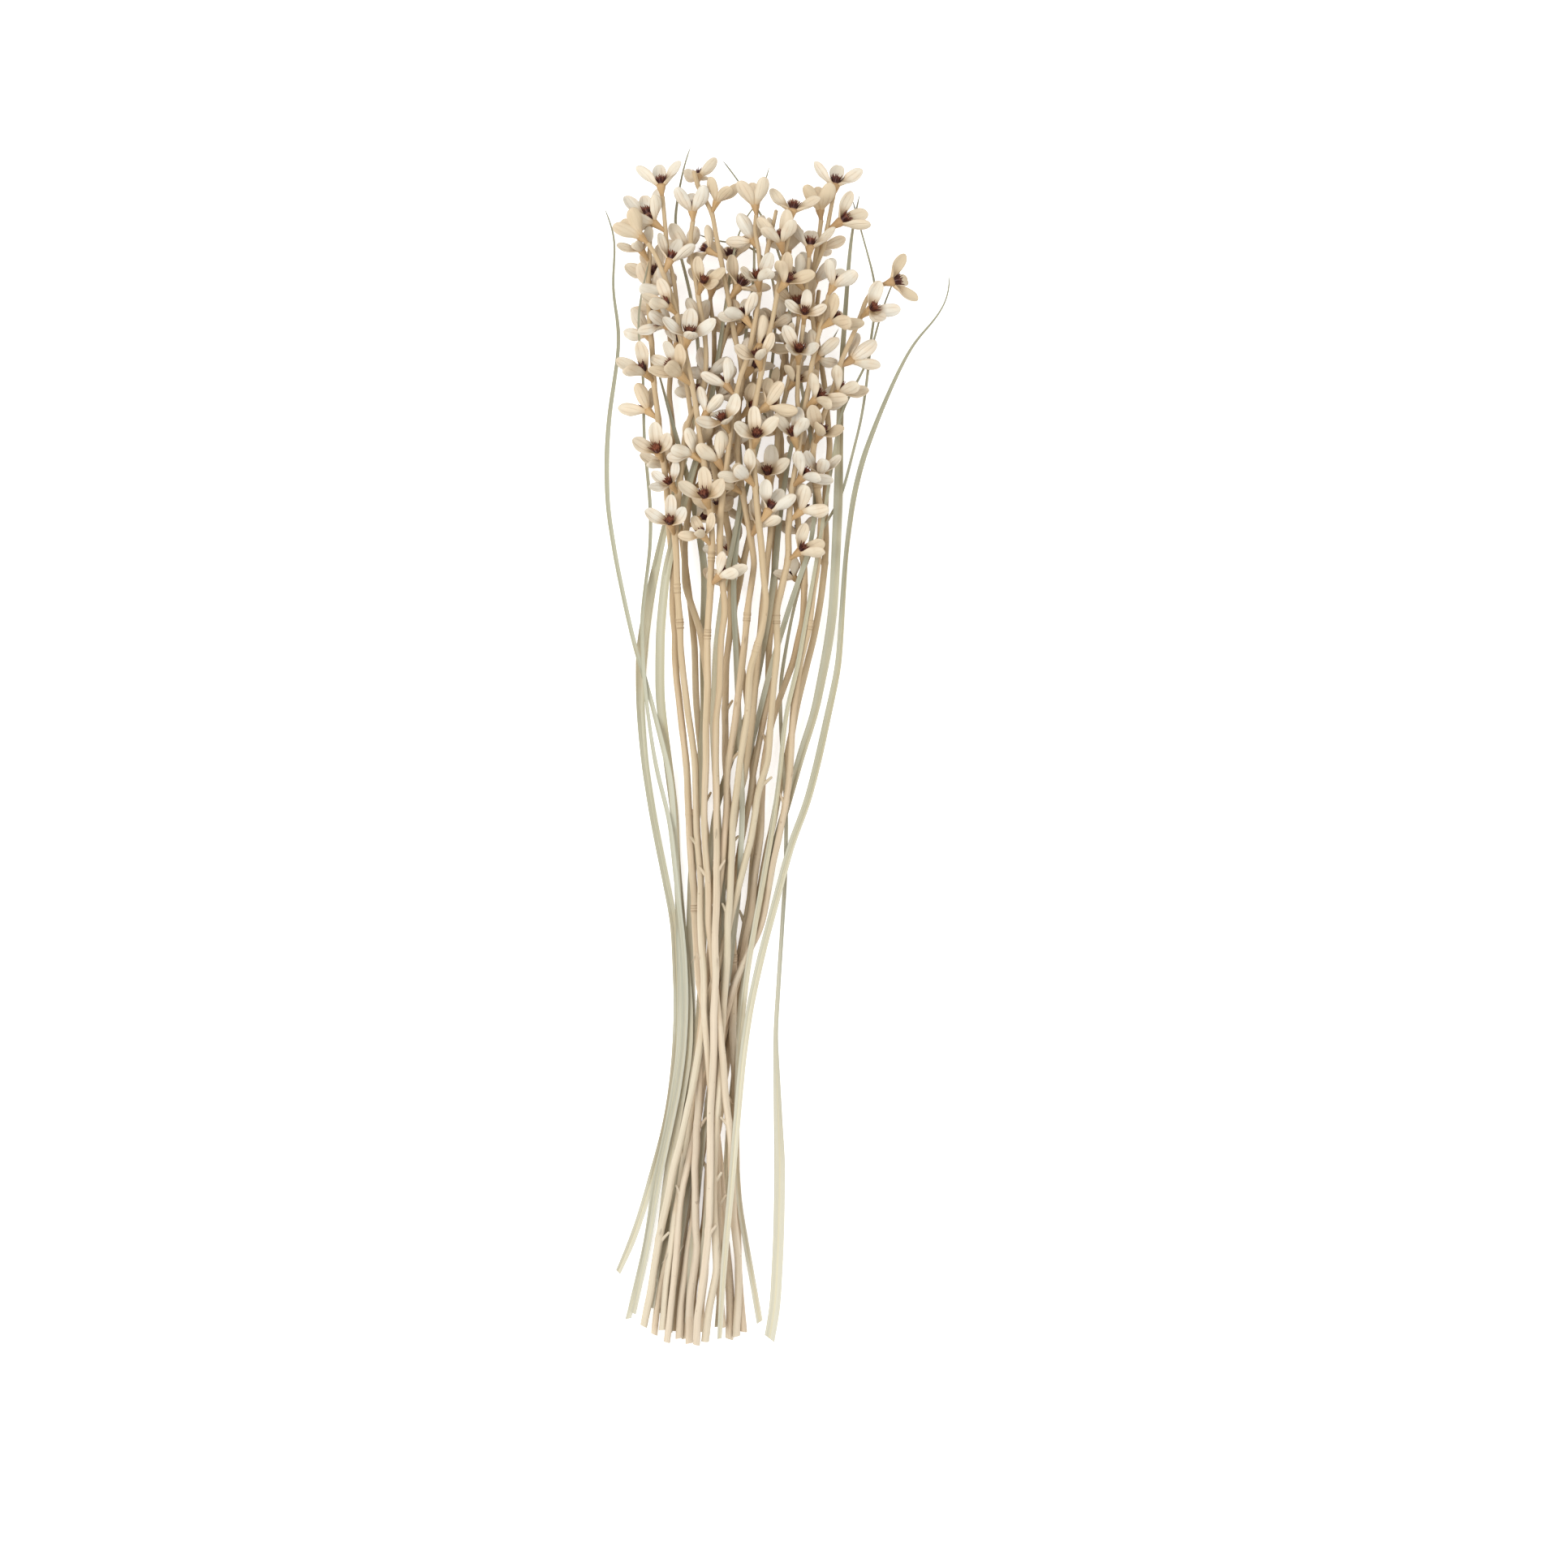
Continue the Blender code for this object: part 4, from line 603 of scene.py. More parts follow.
class Skin:
    """A bmesh with a UV map in metres along and turns around, and three numbers for each vertex."""

    def __init__(self):
        self.bm = bmesh.new()
        self.uv = self.bm.loops.layers.uv.new("surface")
        self.tone = self.bm.verts.layers.float.new("tone")
        self.mark = self.bm.verts.layers.float.new("mark")
        # deep is how far under the bunch a vertex lies; the finishes turn it into painted shade
        self.deep = self.bm.verts.layers.float.new("deep")

    def loft(self, tube, tone, slot=0):
        """Skin a tube of rings, each with its points, its place along the piece and its mark.

        A ring whose points are all the same closes an end.
        """
        turns, rows = len(tube[0][0]), len(tube) - 1
        depths = [depth_at(sum(ring, Vector()) / turns) for ring, _, _ in tube]
        made = bmesh.ops.create_grid(self.bm, x_segments=turns, y_segments=rows, size=1.0,
                                     calc_uvs=True)["verts"]
        faces = {face for vert in made for face in vert.link_faces}
        for vert in made:
            turn = round((vert.co.x + 1.0) / 2.0 * turns) % turns
            row = round((vert.co.y + 1.0) / 2.0 * rows)
            vert.co = tube[row][0][turn]
            vert.co.z = max(vert.co.z, 0.0)
            vert[self.tone] = tone
            vert[self.mark] = tube[row][2]
            vert[self.deep] = depths[row]
        for face in faces:
            face.material_index = slot
            for loop in face.loops:
                place = loop[self.uv].uv
                loop[self.uv].uv = (place.x, tube[round(place.y * rows)][1])
        bmesh.ops.remove_doubles(self.bm, verts=made, dist=1e-6)

    def cone(self, foot, way, height, wide, tip, tone, slot, sides=3):
        """A spike or a plug, from its foot along a direction."""
        turn = way.to_track_quat("Z", "Y").to_matrix().to_4x4()
        place = Matrix.Translation(foot + way * (0.5 * height)) @ turn
        made = bmesh.ops.create_cone(self.bm, cap_ends=True, segments=sides, radius1=wide, radius2=tip,
                                     depth=height, matrix=place)["verts"]
        for vert in made:
            vert[self.tone] = tone
            vert[self.mark] = 1.0 if (vert.co - foot).dot(way) > 0.5 * height else 0.0
        for face in {face for vert in made for face in vert.link_faces}:
            face.material_index = slot

    def piece(self, name, node, materials):
        """Finish the mesh as an object that stands for a node."""
        bmesh.ops.recalc_face_normals(self.bm, faces=self.bm.faces[:])
        mesh = bpy.data.meshes.new(name)
        self.bm.to_mesh(mesh)
        self.bm.free()
        for material in materials:
            mesh.materials.append(material)
        mesh.shade_smooth()
        mesh.set_sharp_from_angle(angle=math.radians(62.0))
        obj = bpy.data.objects.new(name, mesh)
        bpy.context.scene.collection.objects.link(obj)
        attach(obj, "root")
        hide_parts(node)
        return obj


def ring_of(centre, a, b, radii):
    """A closed ring round a centre, with a radius for each of its corners."""
    n = len(radii)
    return [centre + (a * math.cos(math.tau * k / n) + b * math.sin(math.tau * k / n)) * radii[k]
            for k in range(n)]


def swell_of(rod, s):
    """How much a cane swells at a place, and how dark it is there."""
    bumps = [(item.s, 0.0022, 0.16, 0.22) for item in rod.capsules]
    bumps += [(stub[0], 0.0018, 0.12, 0.16) for stub in rod.stubs]
    for scar in rod.scars:
        bumps.append((scar, 0.0045, 0.10, 0.0))
        bumps += [(place, 0.00048, 0.22 * depth, 0.85 * depth) for place, depth in scar_rings(scar)]
    swell, dark = 1.0, 0.0
    for place, reach, more, darker in bumps:
        near = math.exp(-((s - place) / reach) ** 2)
        swell += more * near
        dark = max(dark, darker * near)
    return swell, dark


@functools.lru_cache(maxsize=None)
def scar_rings(scar):
    """Where the uneven rings of one scar are, and how strong each is."""
    rnd = random.Random(round(scar * 1e5))
    return tuple((scar + (k - SCAR_RINGS / 2 + rnd.uniform(-0.35, 0.35)) * SCAR_PITCH, rnd.uniform(0.35, 1.0))
                 for k in range(SCAR_RINGS))


def places_on(rod):
    """Where a cane has a ring: evenly, and closer together at its nodes and scars."""
    places = set(np.linspace(0.0, rod.length, max(2, int(rod.length / CANE_STEP))).tolist())
    for item in rod.capsules:
        places.update(item.s + d for d in (-0.0018, -0.0009, 0.0, 0.0009, 0.0018))
    for stub in rod.stubs:
        places.update(stub[0] + d for d in (-0.0012, 0.0, 0.0012))
    for scar in rod.scars:
        half = (SCAR_RINGS + 1) * SCAR_PITCH / 2
        places.update(scar + d for d in np.arange(-half, half, SCAR_PITCH / 4).tolist())
    kept = []
    for s in sorted(p for p in places if 0.0 <= p <= rod.length):
        if not kept or s - kept[-1] > 0.00018:
            kept.append(s)
    return kept


def grow_cane(skin, rod, tone):
    """A cane or twig: ribbed, swollen at its nodes, cut at the foot and worn at the tip."""
    seed = Vector((tone * 37.0, rod.length * 91.0, 5.0))
    tube = []
    sides, skin_depth = (CANE_SIDES_SHOWN, CANE_SKIN) if rod.kind == "cane" else (8, TWIG_SKIN)
    for s in places_on(rod):
        centre, a, up, _ = spine(rod, s)
        swell, dark = swell_of(rod, s)
        radius = (rod.read(rod.radius, s) + skin_depth) * swell
        radius *= 1.0 + 0.09 * noise.noise(Vector((s * 70.0, 0.0, 0.0)) + seed)
        centre = centre + a * (0.0005 * noise.noise(Vector((s * 38.0, 7.0, 0.0)) + seed))
        radii = []
        for k in range(sides):
            angle = math.tau * k / sides
            way = Vector((math.cos(angle) * 1.3, math.sin(angle) * 1.3, s * 22.0))
            radii.append(radius * (1.0 + 0.09 * noise.noise(way + seed)))
        tube.append((ring_of(centre, a, up, radii), s, dark))
    if rod.kind == "cane":
        centre, a, _, forward = spine(rod, 0.0)
        slant = CUT_SLANT * math.sin(1.7 * int(rod.name[-2:]))
        cut = [p + forward * (slant * (p - centre).dot(a)) for p in tube[0][0]]
        pith = [centre + forward * 0.0004 + (p - centre) * 0.45 for p in cut]
        hole = [centre + forward * PITH_DEPTH + (p - centre) * 0.36 for p in cut]
        shut = [centre + forward * PITH_DEPTH] * sides
        tube[:1] = [(shut, 0.0, 1.0), (hole, 0.0, 0.9), (pith, 0.0, 0.15), (cut, *tube[0][1:])]
    end, _, _, forward = spine(rod, rod.length)
    tube.append(([end + forward * WORN_END] * sides, rod.length + WORN_END, 0.5))
    skin.loft(tube, tone)


def grow_snag(skin, rod, stub, tone):
    """The broken foot of a side twig: it forks from the cane, narrows, and ends in a splinter."""
    s, way, long = stub
    centre, side, up, forward = spine(rod, s)
    out = way - forward * way.dot(forward)
    out = (out.normalized() * 0.5 + side * math.copysign(0.9, out.dot(side))).normalized()
    lean = (forward * 0.86 + out * 0.52).normalized()
    thick = rod.read(rod.radius, s) + CANE_SKIN
    foot = centre + out * (0.15 * thick) - forward * (0.9 * thick)
    reach = 1.6 * thick + 1.25 * long
    a, b = frame_of(lean, up)
    tube = []
    for k, (share, wide) in enumerate(SNAG_ROWS):
        here = foot + lean * (reach * share) + out * (0.25 * thick * share)
        ring = ring_of(here, a, b, [max(0.0006, wide * thick)] * 8)
        tube.append((ring, s + 0.001 * k, 0.10 if k == 1 else 0.0))
    ring[:] = [point + lean * (0.0009 * high) for point, high in zip(ring, SNAG_SPLINTERS)]
    tube.append(([sum(ring, Vector()) / 8 - lean * 0.0004] * 8, s + 0.001 * len(tube), 0.12))
    skin.loft(tube, tone)


def grow_shred(skin, rod, s, tone, rnd):
    """A thin strip of bark that has peeled from the cane and curls away from it."""
    centre, a, up, forward = spine(rod, s)
    turn = rnd.uniform(0.15, 0.85) * math.pi
    out = a * math.cos(turn) + up * math.sin(turn)
    side = forward.cross(out)
    long = rnd.uniform(0.005, 0.010)
    foot = centre + out * (rod.read(rod.radius, s) * 0.9)
    curl = rnd.uniform(0.25, 0.55)
    back = rnd.choice((-1.0, 1.0))
    tube = []
    for k in range(5):
        share = k / 4
        here = foot + forward * (back * long * share) + out * (curl * long * share ** 2)
        here += side * (0.15 * long * share ** 2 * back)
        wide = 0.00055 * (1.0 - 0.8 * share)
        ring = [here + side * (wide * x) + out * (0.00016 * y)
                for x, y in ((1.0, 0.0), (0.0, 1.0), (-1.0, 0.0), (0.0, -1.0))]
        tube.append((ring, s + 0.001 * k, 0.1))
    tube.append(([here] * 4, s + 0.001 * len(tube), 0.1))
    skin.loft(tube, tone)


def curve(p0, p1, p2, t):
    """A point on a quadratic curve, and its direction there."""
    here = p0 * (1 - t) ** 2 + p1 * (2 * t * (1 - t)) + p2 * t ** 2
    way = (p1 - p0) * (2 * (1 - t)) + (p2 - p1) * (2 * t)
    return here, way.normalized()


def grow_cup(skin, rod, item, tone, rnd):
    """The stalk and cup: a tapered tube that leaves the cane and widens to the rim."""
    foot = spine(rod, item.s)[0]
    top = item.cup + item.axis * (COLLAR * 0.9)
    knee = item.root + item.axis * (0.30 * (item.cup - item.root).length)
    tube, run, last = [], 0.0, foot
    turn = rnd.uniform(0.0, math.tau)
    for share, radius in CUP_ROWS:
        here, way = curve(foot, knee, top, share)
        a, b = frame_of(way, item.q)
        run += (here - last).length
        last = here
        size = radius * (item.size if share > 0.4 else 1.0)
        radii = [size * (1.0 + 0.07 * math.sin(3.0 * math.tau * k / CUP_SIDES_SHOWN + turn)
                         + rnd.uniform(-0.03, 0.03)) for k in range(CUP_SIDES_SHOWN)]
        tube.append((ring_of(here, a, b, radii), run, share))
    tube.append(([top - item.axis * 0.0004] * CUP_SIDES_SHOWN, run, 1.0))
    skin.loft(tube, tone)


def level_roll(side, way):
    """How far a valve turns about its length to lie level across it."""
    level = way.cross(UP)
    if level.length < 0.35:
        return 0.0
    level.normalize()
    if level.dot(side) < 0.0:
        level = -level
    return math.atan2(way.dot(side.cross(level)), side.dot(level))


def valve_width(row):
    """How wide a valve is at a ring, as a share of its widest."""
    if row < VALVE_WIDEST:
        return VALVE_FOOT + (1.0 - VALVE_FOOT) * math.sin(0.5 * math.pi * row / VALVE_WIDEST)
    return math.sqrt(max(0.0, 1.0 - ((row - VALVE_WIDEST) / (1.0 - VALVE_WIDEST)) ** 2.6))


def valve_body(row):
    """How thick a valve is at a ring, as a share of the usual."""
    if row < 0.5:
        return 1.0 + 0.05 * math.sin(math.tau * row)
    return math.sqrt(max(0.0, 1.0 - (2.0 * row - 1.0) ** 2.4))


def valve_section(row):
    """Points round a valve: how far across, how far bent back, and how far out each is."""
    points = []
    for k in range(VALVE_SIDES):
        x, up = math.cos(math.tau * k / VALVE_SIDES), math.sin(math.tau * k / VALVE_SIDES)
        groove = GROOVE_DEPTH * math.sin(math.pi * row) * math.exp(-((abs(x) - GROOVE_PLACE) / 0.16) ** 2)
        z = 0.95 * up ** 0.7 * (1.0 - groove) if up > 0.0 else 0.20 * up ** 4 - 0.58 * (-up) ** 0.7
        points.append((x, -x * x, z))
    return points


def grow_valve(skin, item, k, tone, rnd):
    """A thick, spoon-shaped valve: swollen outside with a groove, hollow inside, round at the tip."""
    foot, middle, end, side, out = item.valve(k)
    foot = foot - item.axis * (0.0008 * item.size) - out * 0.0003
    curl = rnd.uniform(-0.0012, 0.0010) * item.size
    end = end + (end - middle).normalized() * 0.0006 + out * curl
    bend = middle * 2.0 - (foot + end) * 0.5
    wide = VALVE_HALF_WIDTH * item.size * rnd.uniform(0.90, 1.10)
    roll = level_roll(side, (end - foot).normalized()) * rnd.uniform(0.40, 0.90)
    cupped = rnd.uniform(0.20, 0.46)
    sway = rnd.uniform(-0.10, 0.10)
    tube, run, last = [], 0.0, foot
    seed = Vector((tone * 71.0, k * 5.0, item.s * 300.0))
    for row in VALVE_ROWS:
        here, way = curve(foot, bend, end, row)
        here = here + side * (sway * wide * math.sin(math.pi * row))
        run += (here - last).length
        last = here
        a = Quaternion(way, roll * smoothstep(row / 0.60)) @ side
        b = way.cross(a).normalized()
        if b.dot(out) < 0.0:
            b = -b
        w, h = wide * valve_width(row), 0.00100 * item.size * valve_body(row)
        ring = []
        for x, y, z in valve_section(row):
            place = Vector((x * 1.7, row * 2.2, 0.6 * z)) + seed
            uneven, edge = 1.0 + 0.35 * noise.noise(place), 1.0 + 0.10 * noise.noise(place * 1.3)
            ring.append(here + a * (w * x * edge) + b * (cupped * w * y + h * z * uneven))
        tube.append((ring, run, row))
    skin.loft(tube, tone, 1)


def grow_tuft(skin, item, tone, rnd):
    """Dark bristles that stand in a close crown between the valves."""
    top = item.cup + item.axis * (COLLAR * 0.2)
    skin.cone(top, item.axis, 0.0042 * item.size, 0.0019 * item.size, 0.0021 * item.size, tone, 2, 7)
    for k in range(TUFT_BRISTLES):
        angle = k * 2.399 + rnd.uniform(-0.3, 0.3)
        far = math.sqrt((k + 0.5) / TUFT_BRISTLES)
        lean = 0.60 * far * rnd.uniform(0.6, 1.2)
        way = (item.axis * math.cos(lean) + item.way(angle) * math.sin(lean)).normalized()
        foot = top + item.way(angle) * (0.0018 * far * item.size) + item.axis * 0.0014
        height = rnd.uniform(0.0030, 0.0050) * item.size
        skin.cone(foot, way, height, 0.00060, 0.00016, tone + rnd.uniform(-0.2, 0.2), 2)


def grow_ribbon(skin, blade, tone, rnd):
    """A grass blade: thin, folded along its midrib, drawn out to a hair at its tip."""
    count = int(blade.length / BLADE_STEP)
    tube = []
    fold = rnd.uniform(0.22, 0.40)
    seed = Vector((tone * 53.0, 2.0, 9.0))
    for k in range(count + 1):
        s = blade.length * k / count
        centre, a, up, forward = spine(blade, s)
        left = max(0.0, blade.length - s)
        taper = min(1.0, 0.80 + 0.20 * left / 0.040) * min(1.0, 0.2 + left / 0.006)
        w = BLADE_WIDENING * 0.5 * blade.read(blade.width, s) * taper
        lean = 0.35 * noise.noise(Vector((s * 14.0, 0.0, 0.0)) + seed)
        a = (a * math.cos(lean) + up * math.sin(lean)).normalized()
        b = forward.cross(a) if forward.cross(a).z > 0 else a.cross(forward)
        lift = min(fold * w, 0.0008)
        h = min(0.00022, w * 0.45)
        ring = [centre + a * (w * x) + b * (lift * y + h * z) for x, y, z in BLADE_SECTION]
        tube.append((ring, s, max(0.0, 1.0 - left / 0.20)))
    foot, a, _, forward = spine(blade, 0.0)
    slant = 0.55 * math.sin(2.3 * int(blade.name[-2:]))
    cut = [p + forward * (slant * (p - foot).dot(a) + 0.5 * abs(slant) * blade.width[0])
           for p in tube[0][0]]
    tube[:1] = [([sum(cut, Vector()) / 8] * 8, 0.0, 0.0), (cut, *tube[0][1:])]
    tube.append(([spine(blade, blade.length)[0]] * 8, blade.length, 1.0))
    skin.loft(tube, tone)


# How bright the stage's light makes a level white surface, where 1 is the screen's white, and how many
# grid units the picture spans.
STAGE_LEVEL = 1.24
PICTURE = 1932


def paint(red, green, blue):
    """The surface colour that looks like this on a screen, 0 to 255, in the stage's light."""
    return tuple(((c / 255 + 0.055) / 1.055) ** 2.4 / STAGE_LEVEL for c in (red, green, blue))


class Wire:
    """A value in a material that Python sums and products act on, each adding a Math node."""

    def __init__(self, finish, socket):
        self.finish, self.socket = finish, socket

    def __add__(self, other):
        return self.finish.maths("ADD", self, other)

    def __sub__(self, other):
        return self.finish.maths("SUBTRACT", self, other)

    def __mul__(self, other):
        return self.finish.maths("MULTIPLY", self, other)

    def __pow__(self, other):
        return self.finish.maths("POWER", self, other)

    def __rsub__(self, other):
        return self.finish.maths("SUBTRACT", other, self)

    __radd__ = __add__
    __rmul__ = __mul__


class Finish:
    """One procedural material, built up from wires."""

    def __init__(self, name, roughness):
        self.material = bpy.data.materials.new(name)
        self.material.use_nodes = True
        self.tree = self.material.node_tree
        self.shader = self.tree.nodes["Principled BSDF"]
        self.shader.inputs["Roughness"].default_value = roughness

    def node(self, kind, settings=None, sockets=None):
        """A node with its settings first and then its sockets, given as values or wires."""
        made = self.tree.nodes.new(kind)
        for key, value in (settings or {}).items():
            if key == "stops":
                ramp = made.color_ramp.elements
                while len(ramp) < len(value):
                    ramp.new(0.5)
                for stop, (place, colour) in zip(ramp, value):
                    stop.position, stop.color = place, tuple(colour) + (1.0,)
            else:
                setattr(made, key, value)
        for key, value in (sockets or {}).items():
            if isinstance(value, Wire):
                self.tree.links.new(value.socket, made.inputs[key])
            else:
                made.inputs[key].default_value = value
        return made

    def wire(self, made, key=0):
        return Wire(self, made.outputs[key])

    def maths(self, operation, *values):
        return self.wire(self.node("ShaderNodeMath", {"operation": operation}, dict(enumerate(values))))

    def clamp(self, value, low, high):
        """0 below low, 1 above high, and smooth between."""
        return self.wire(self.node("ShaderNodeMapRange", {"interpolation_type": "SMOOTHSTEP"},
                                   {"Value": value, "From Min": low, "From Max": high}))

    def surface(self):
        """Turns round the piece and metres along it, with its tone, mark and depth."""
        uv = self.wire(self.node("ShaderNodeUVMap", {"uv_map": "surface"}))
        split = self.node("ShaderNodeSeparateXYZ", None, {"Vector": uv})
        kept = [self.number(name) for name in ("tone", "mark", "deep")]
        return self.wire(split, "X"), self.wire(split, "Y"), *kept

    def number(self, name):
        """A number kept on the vertices."""
        return self.wire(self.node("ShaderNodeAttribute", {"attribute_name": name}), "Fac")

    def place(self):
        """Where the point is on the bunch."""
        return self.wire(self.node("ShaderNodeTexCoord"), "Object")

    def reach(self):
        """How far the point is towards the heads."""
        return self.wire(self.node("ShaderNodeSeparateXYZ", None, {"Vector": self.place()}), "Y")

    def vector(self, x, y, z):
        return self.wire(self.node("ShaderNodeCombineXYZ", None, {"X": x, "Y": y, "Z": z}))

    def noise(self, vector, scale, detail=3.0):
        return self.wire(self.node("ShaderNodeTexNoise", {"noise_dimensions": "3D"},
                                   {"Vector": vector, "Scale": scale, "Detail": detail}))

    def grain(self, turns, along, round_scale, along_scale, shift, detail=3.0):
        """Noise drawn out along a piece, that meets itself round it."""
        angle = turns * math.tau
        across = self.maths("COSINE", angle) * round_scale
        over = self.maths("SINE", angle) * round_scale
        return self.noise(self.vector(across, over, along * along_scale + shift * 17.0), 1.0, detail)

    def mix(self, share, first, second):
        """From the first colour to the second."""
        return self.wire(self.node("ShaderNodeMix", {"data_type": "RGBA"},
                                   {0: share, 6: self.colour(first), 7: self.colour(second)}), 2)

    def colour(self, value):
        return value if isinstance(value, Wire) else tuple(value)[:3] + (1.0,)

    def coats(self, body, *coats):
        """Lay colours over a body, each where its mask is."""
        for mask, colour in coats:
            body = self.mix(mask, body, colour)
        return body

    def ramp(self, share, stops):
        return self.wire(self.node("ShaderNodeValToRGB", {"stops": stops}, {"Fac": share}), "Color")

    def done(self, colour, height, depth, roughness=None):
        """Join colour, bump and roughness to the shader."""
        links = self.tree.links
        links.new(colour.socket, self.shader.inputs["Base Color"])
        bump = self.node("ShaderNodeBump", None, {"Strength": 1.0, "Distance": depth, "Height": height})
        links.new(bump.outputs["Normal"], self.shader.inputs["Normal"])
        if roughness:
            links.new(roughness.socket, self.shader.inputs["Roughness"])
        return self.material


def bark_finish(look):
    """Pale, dry bark: long streaks, dark nodes and scars, a warmer tan towards the heads, and painted shade
    where the bunch covers it.
    """
    f = Finish("bark", 0.68)
    turns, along, tone, mark, deep = f.surface()
    streaks = f.grain(turns, along, 1.3, 20.0, tone, 4.0)
    fibres = f.grain(turns, along, 6.0, 42.0, tone, 2.0)
    patches = f.grain(turns, along, 0.35, 30.0, tone + 3.0, 2.0)
    specks = f.noise(f.place(), 260.0, 1.0)
    reach = f.reach() + patches * 0.14
    head = f.clamp(reach, -0.08, 0.20)
    base = 1.0 - f.clamp(reach, -0.20, 0.06)
    worn = f.clamp(patches + fibres * 0.5, 0.50, 0.85) * 0.35 + 0.45
    body = f.coats(
        look.pale,
        (f.clamp(streaks, 0.36, 0.66), look.tan),
        (f.clamp(patches, 0.46, 0.70) * 0.60, look.grey),
        (f.clamp(0.45 - tone, 0.0, 0.3) * 0.60, look.grey),
        (f.clamp(tone, 0.45, 1.0) * (1.0 - head) * 0.45, look.rosy),
        (f.clamp(f.maths("FRACT", tone * 7.3), 0.5, 0.9) * 0.50, look.tan),
        (head * 0.85, look.warm),
        (base * 0.50, look.bleached),
        (f.clamp(fibres, 0.55, 0.80) * 0.30, look.tan),
        (f.clamp(specks, 0.74, 0.80) * 0.35, look.knot),
        # painted shade: bark covered by the bunch turns brown, lighter and warmer low down, darker in the
        # heads
        (deep * (head * 0.10 + 0.52), f.mix(head, look.painted_shade_low, look.deep)),
        (f.clamp(mark, 0.05, 1.0) * worn, look.knot))
    return f.done(body, streaks * 0.7 + fibres * 0.6, look.groove, 0.58 + streaks * 0.2)


def cup_finish(look):
    """Tan, wrinkled skin of the stalks and cups, darker at the rim, with painted shade where the bunch covers
    them.
    """
    f = Finish("cup_skin", 0.6)
    turns, along, tone, mark, deep = f.surface()
    wrinkles = f.grain(turns, along, 2.6, 90.0, tone, 3.0)
    body = f.coats(
        f.ramp(mark, ((0.0, look.stalk), (0.45, look.cup), (0.88, look.cup), (1.0, look.rim))),
        (f.clamp(wrinkles, 0.35, 0.7) * 0.5, look.stalk),
        (f.clamp(tone, 0.4, 1.0) * 0.4, look.rim),
        # painted shade where the bunch covers the cup
        (deep * 0.50, look.painted_shade))
    return f.done(body, wrinkles, 0.0005, 0.5 + wrinkles * 0.2)


def valve_finish(look):
    """Cream valves with a pair of soft lines down the back, tan at the foot and deep inside, with painted
    shade where the bunch covers them.
    """
    f = Finish("valve", 0.5)
    turns, along, tone, mark, deep = f.surface()
    across = f.maths("ABSOLUTE", f.maths("COSINE", turns * math.tau))
    inside = f.clamp(f.maths("SINE", turns * math.tau) * -1.0, 0.10, 0.55)
    fibres = f.grain(turns, along, 4.5, 70.0, tone, 3.0)
    blotches = f.noise(f.place(), 95.0, 2.0)
    line = 1.0 - f.clamp(f.maths("ABSOLUTE", across - GROOVE_PLACE), 0.0, 0.14)
    line = line * f.clamp(mark, 0.0, 0.2) * f.clamp(1.0 - mark, 0.0, 0.25)
    line = line * f.clamp(blotches, 0.30, 0.60)
    body = f.coats(
        look.cream,
        (f.clamp(tone, 0.35, 1.0) * 0.70, look.straw),
        (f.clamp(0.34 - tone, 0.0, 0.30) * 0.65, look.chalk),
        (f.clamp(blotches, 0.42, 0.72) * 0.50, look.blush),
        (line * 0.34, look.line),
        (f.clamp(across, 0.88, 1.0) * 0.35, look.line),
        (f.clamp(fibres, 0.52, 0.80) * 0.30, look.straw),
        (f.clamp(1.0 - mark, 0.70, 1.0) * 0.75, look.foot),
        (inside * f.clamp(0.55 - mark, 0.0, 0.35) * 0.70, look.hollow),
        # painted shade where the bunch covers the valve
        (deep * 0.55, look.painted_shade))
    return f.done(body, fibres * 0.5 - line * 0.45, look.relief, 0.46 + fibres * 0.12)


def tuft_finish(look):
    """Dark red-brown bristles, rusty at their tips."""
    f = Finish("bristle", 0.55)
    grit = f.noise(f.place(), 900.0, 1.0)
    rust = f.clamp(f.number("mark") + f.number("tone") * 0.4 + grit * 0.4, 0.7, 1.7)
    return f.done(f.mix(rust, look.tuft, look.rust), grit, 0.0002)


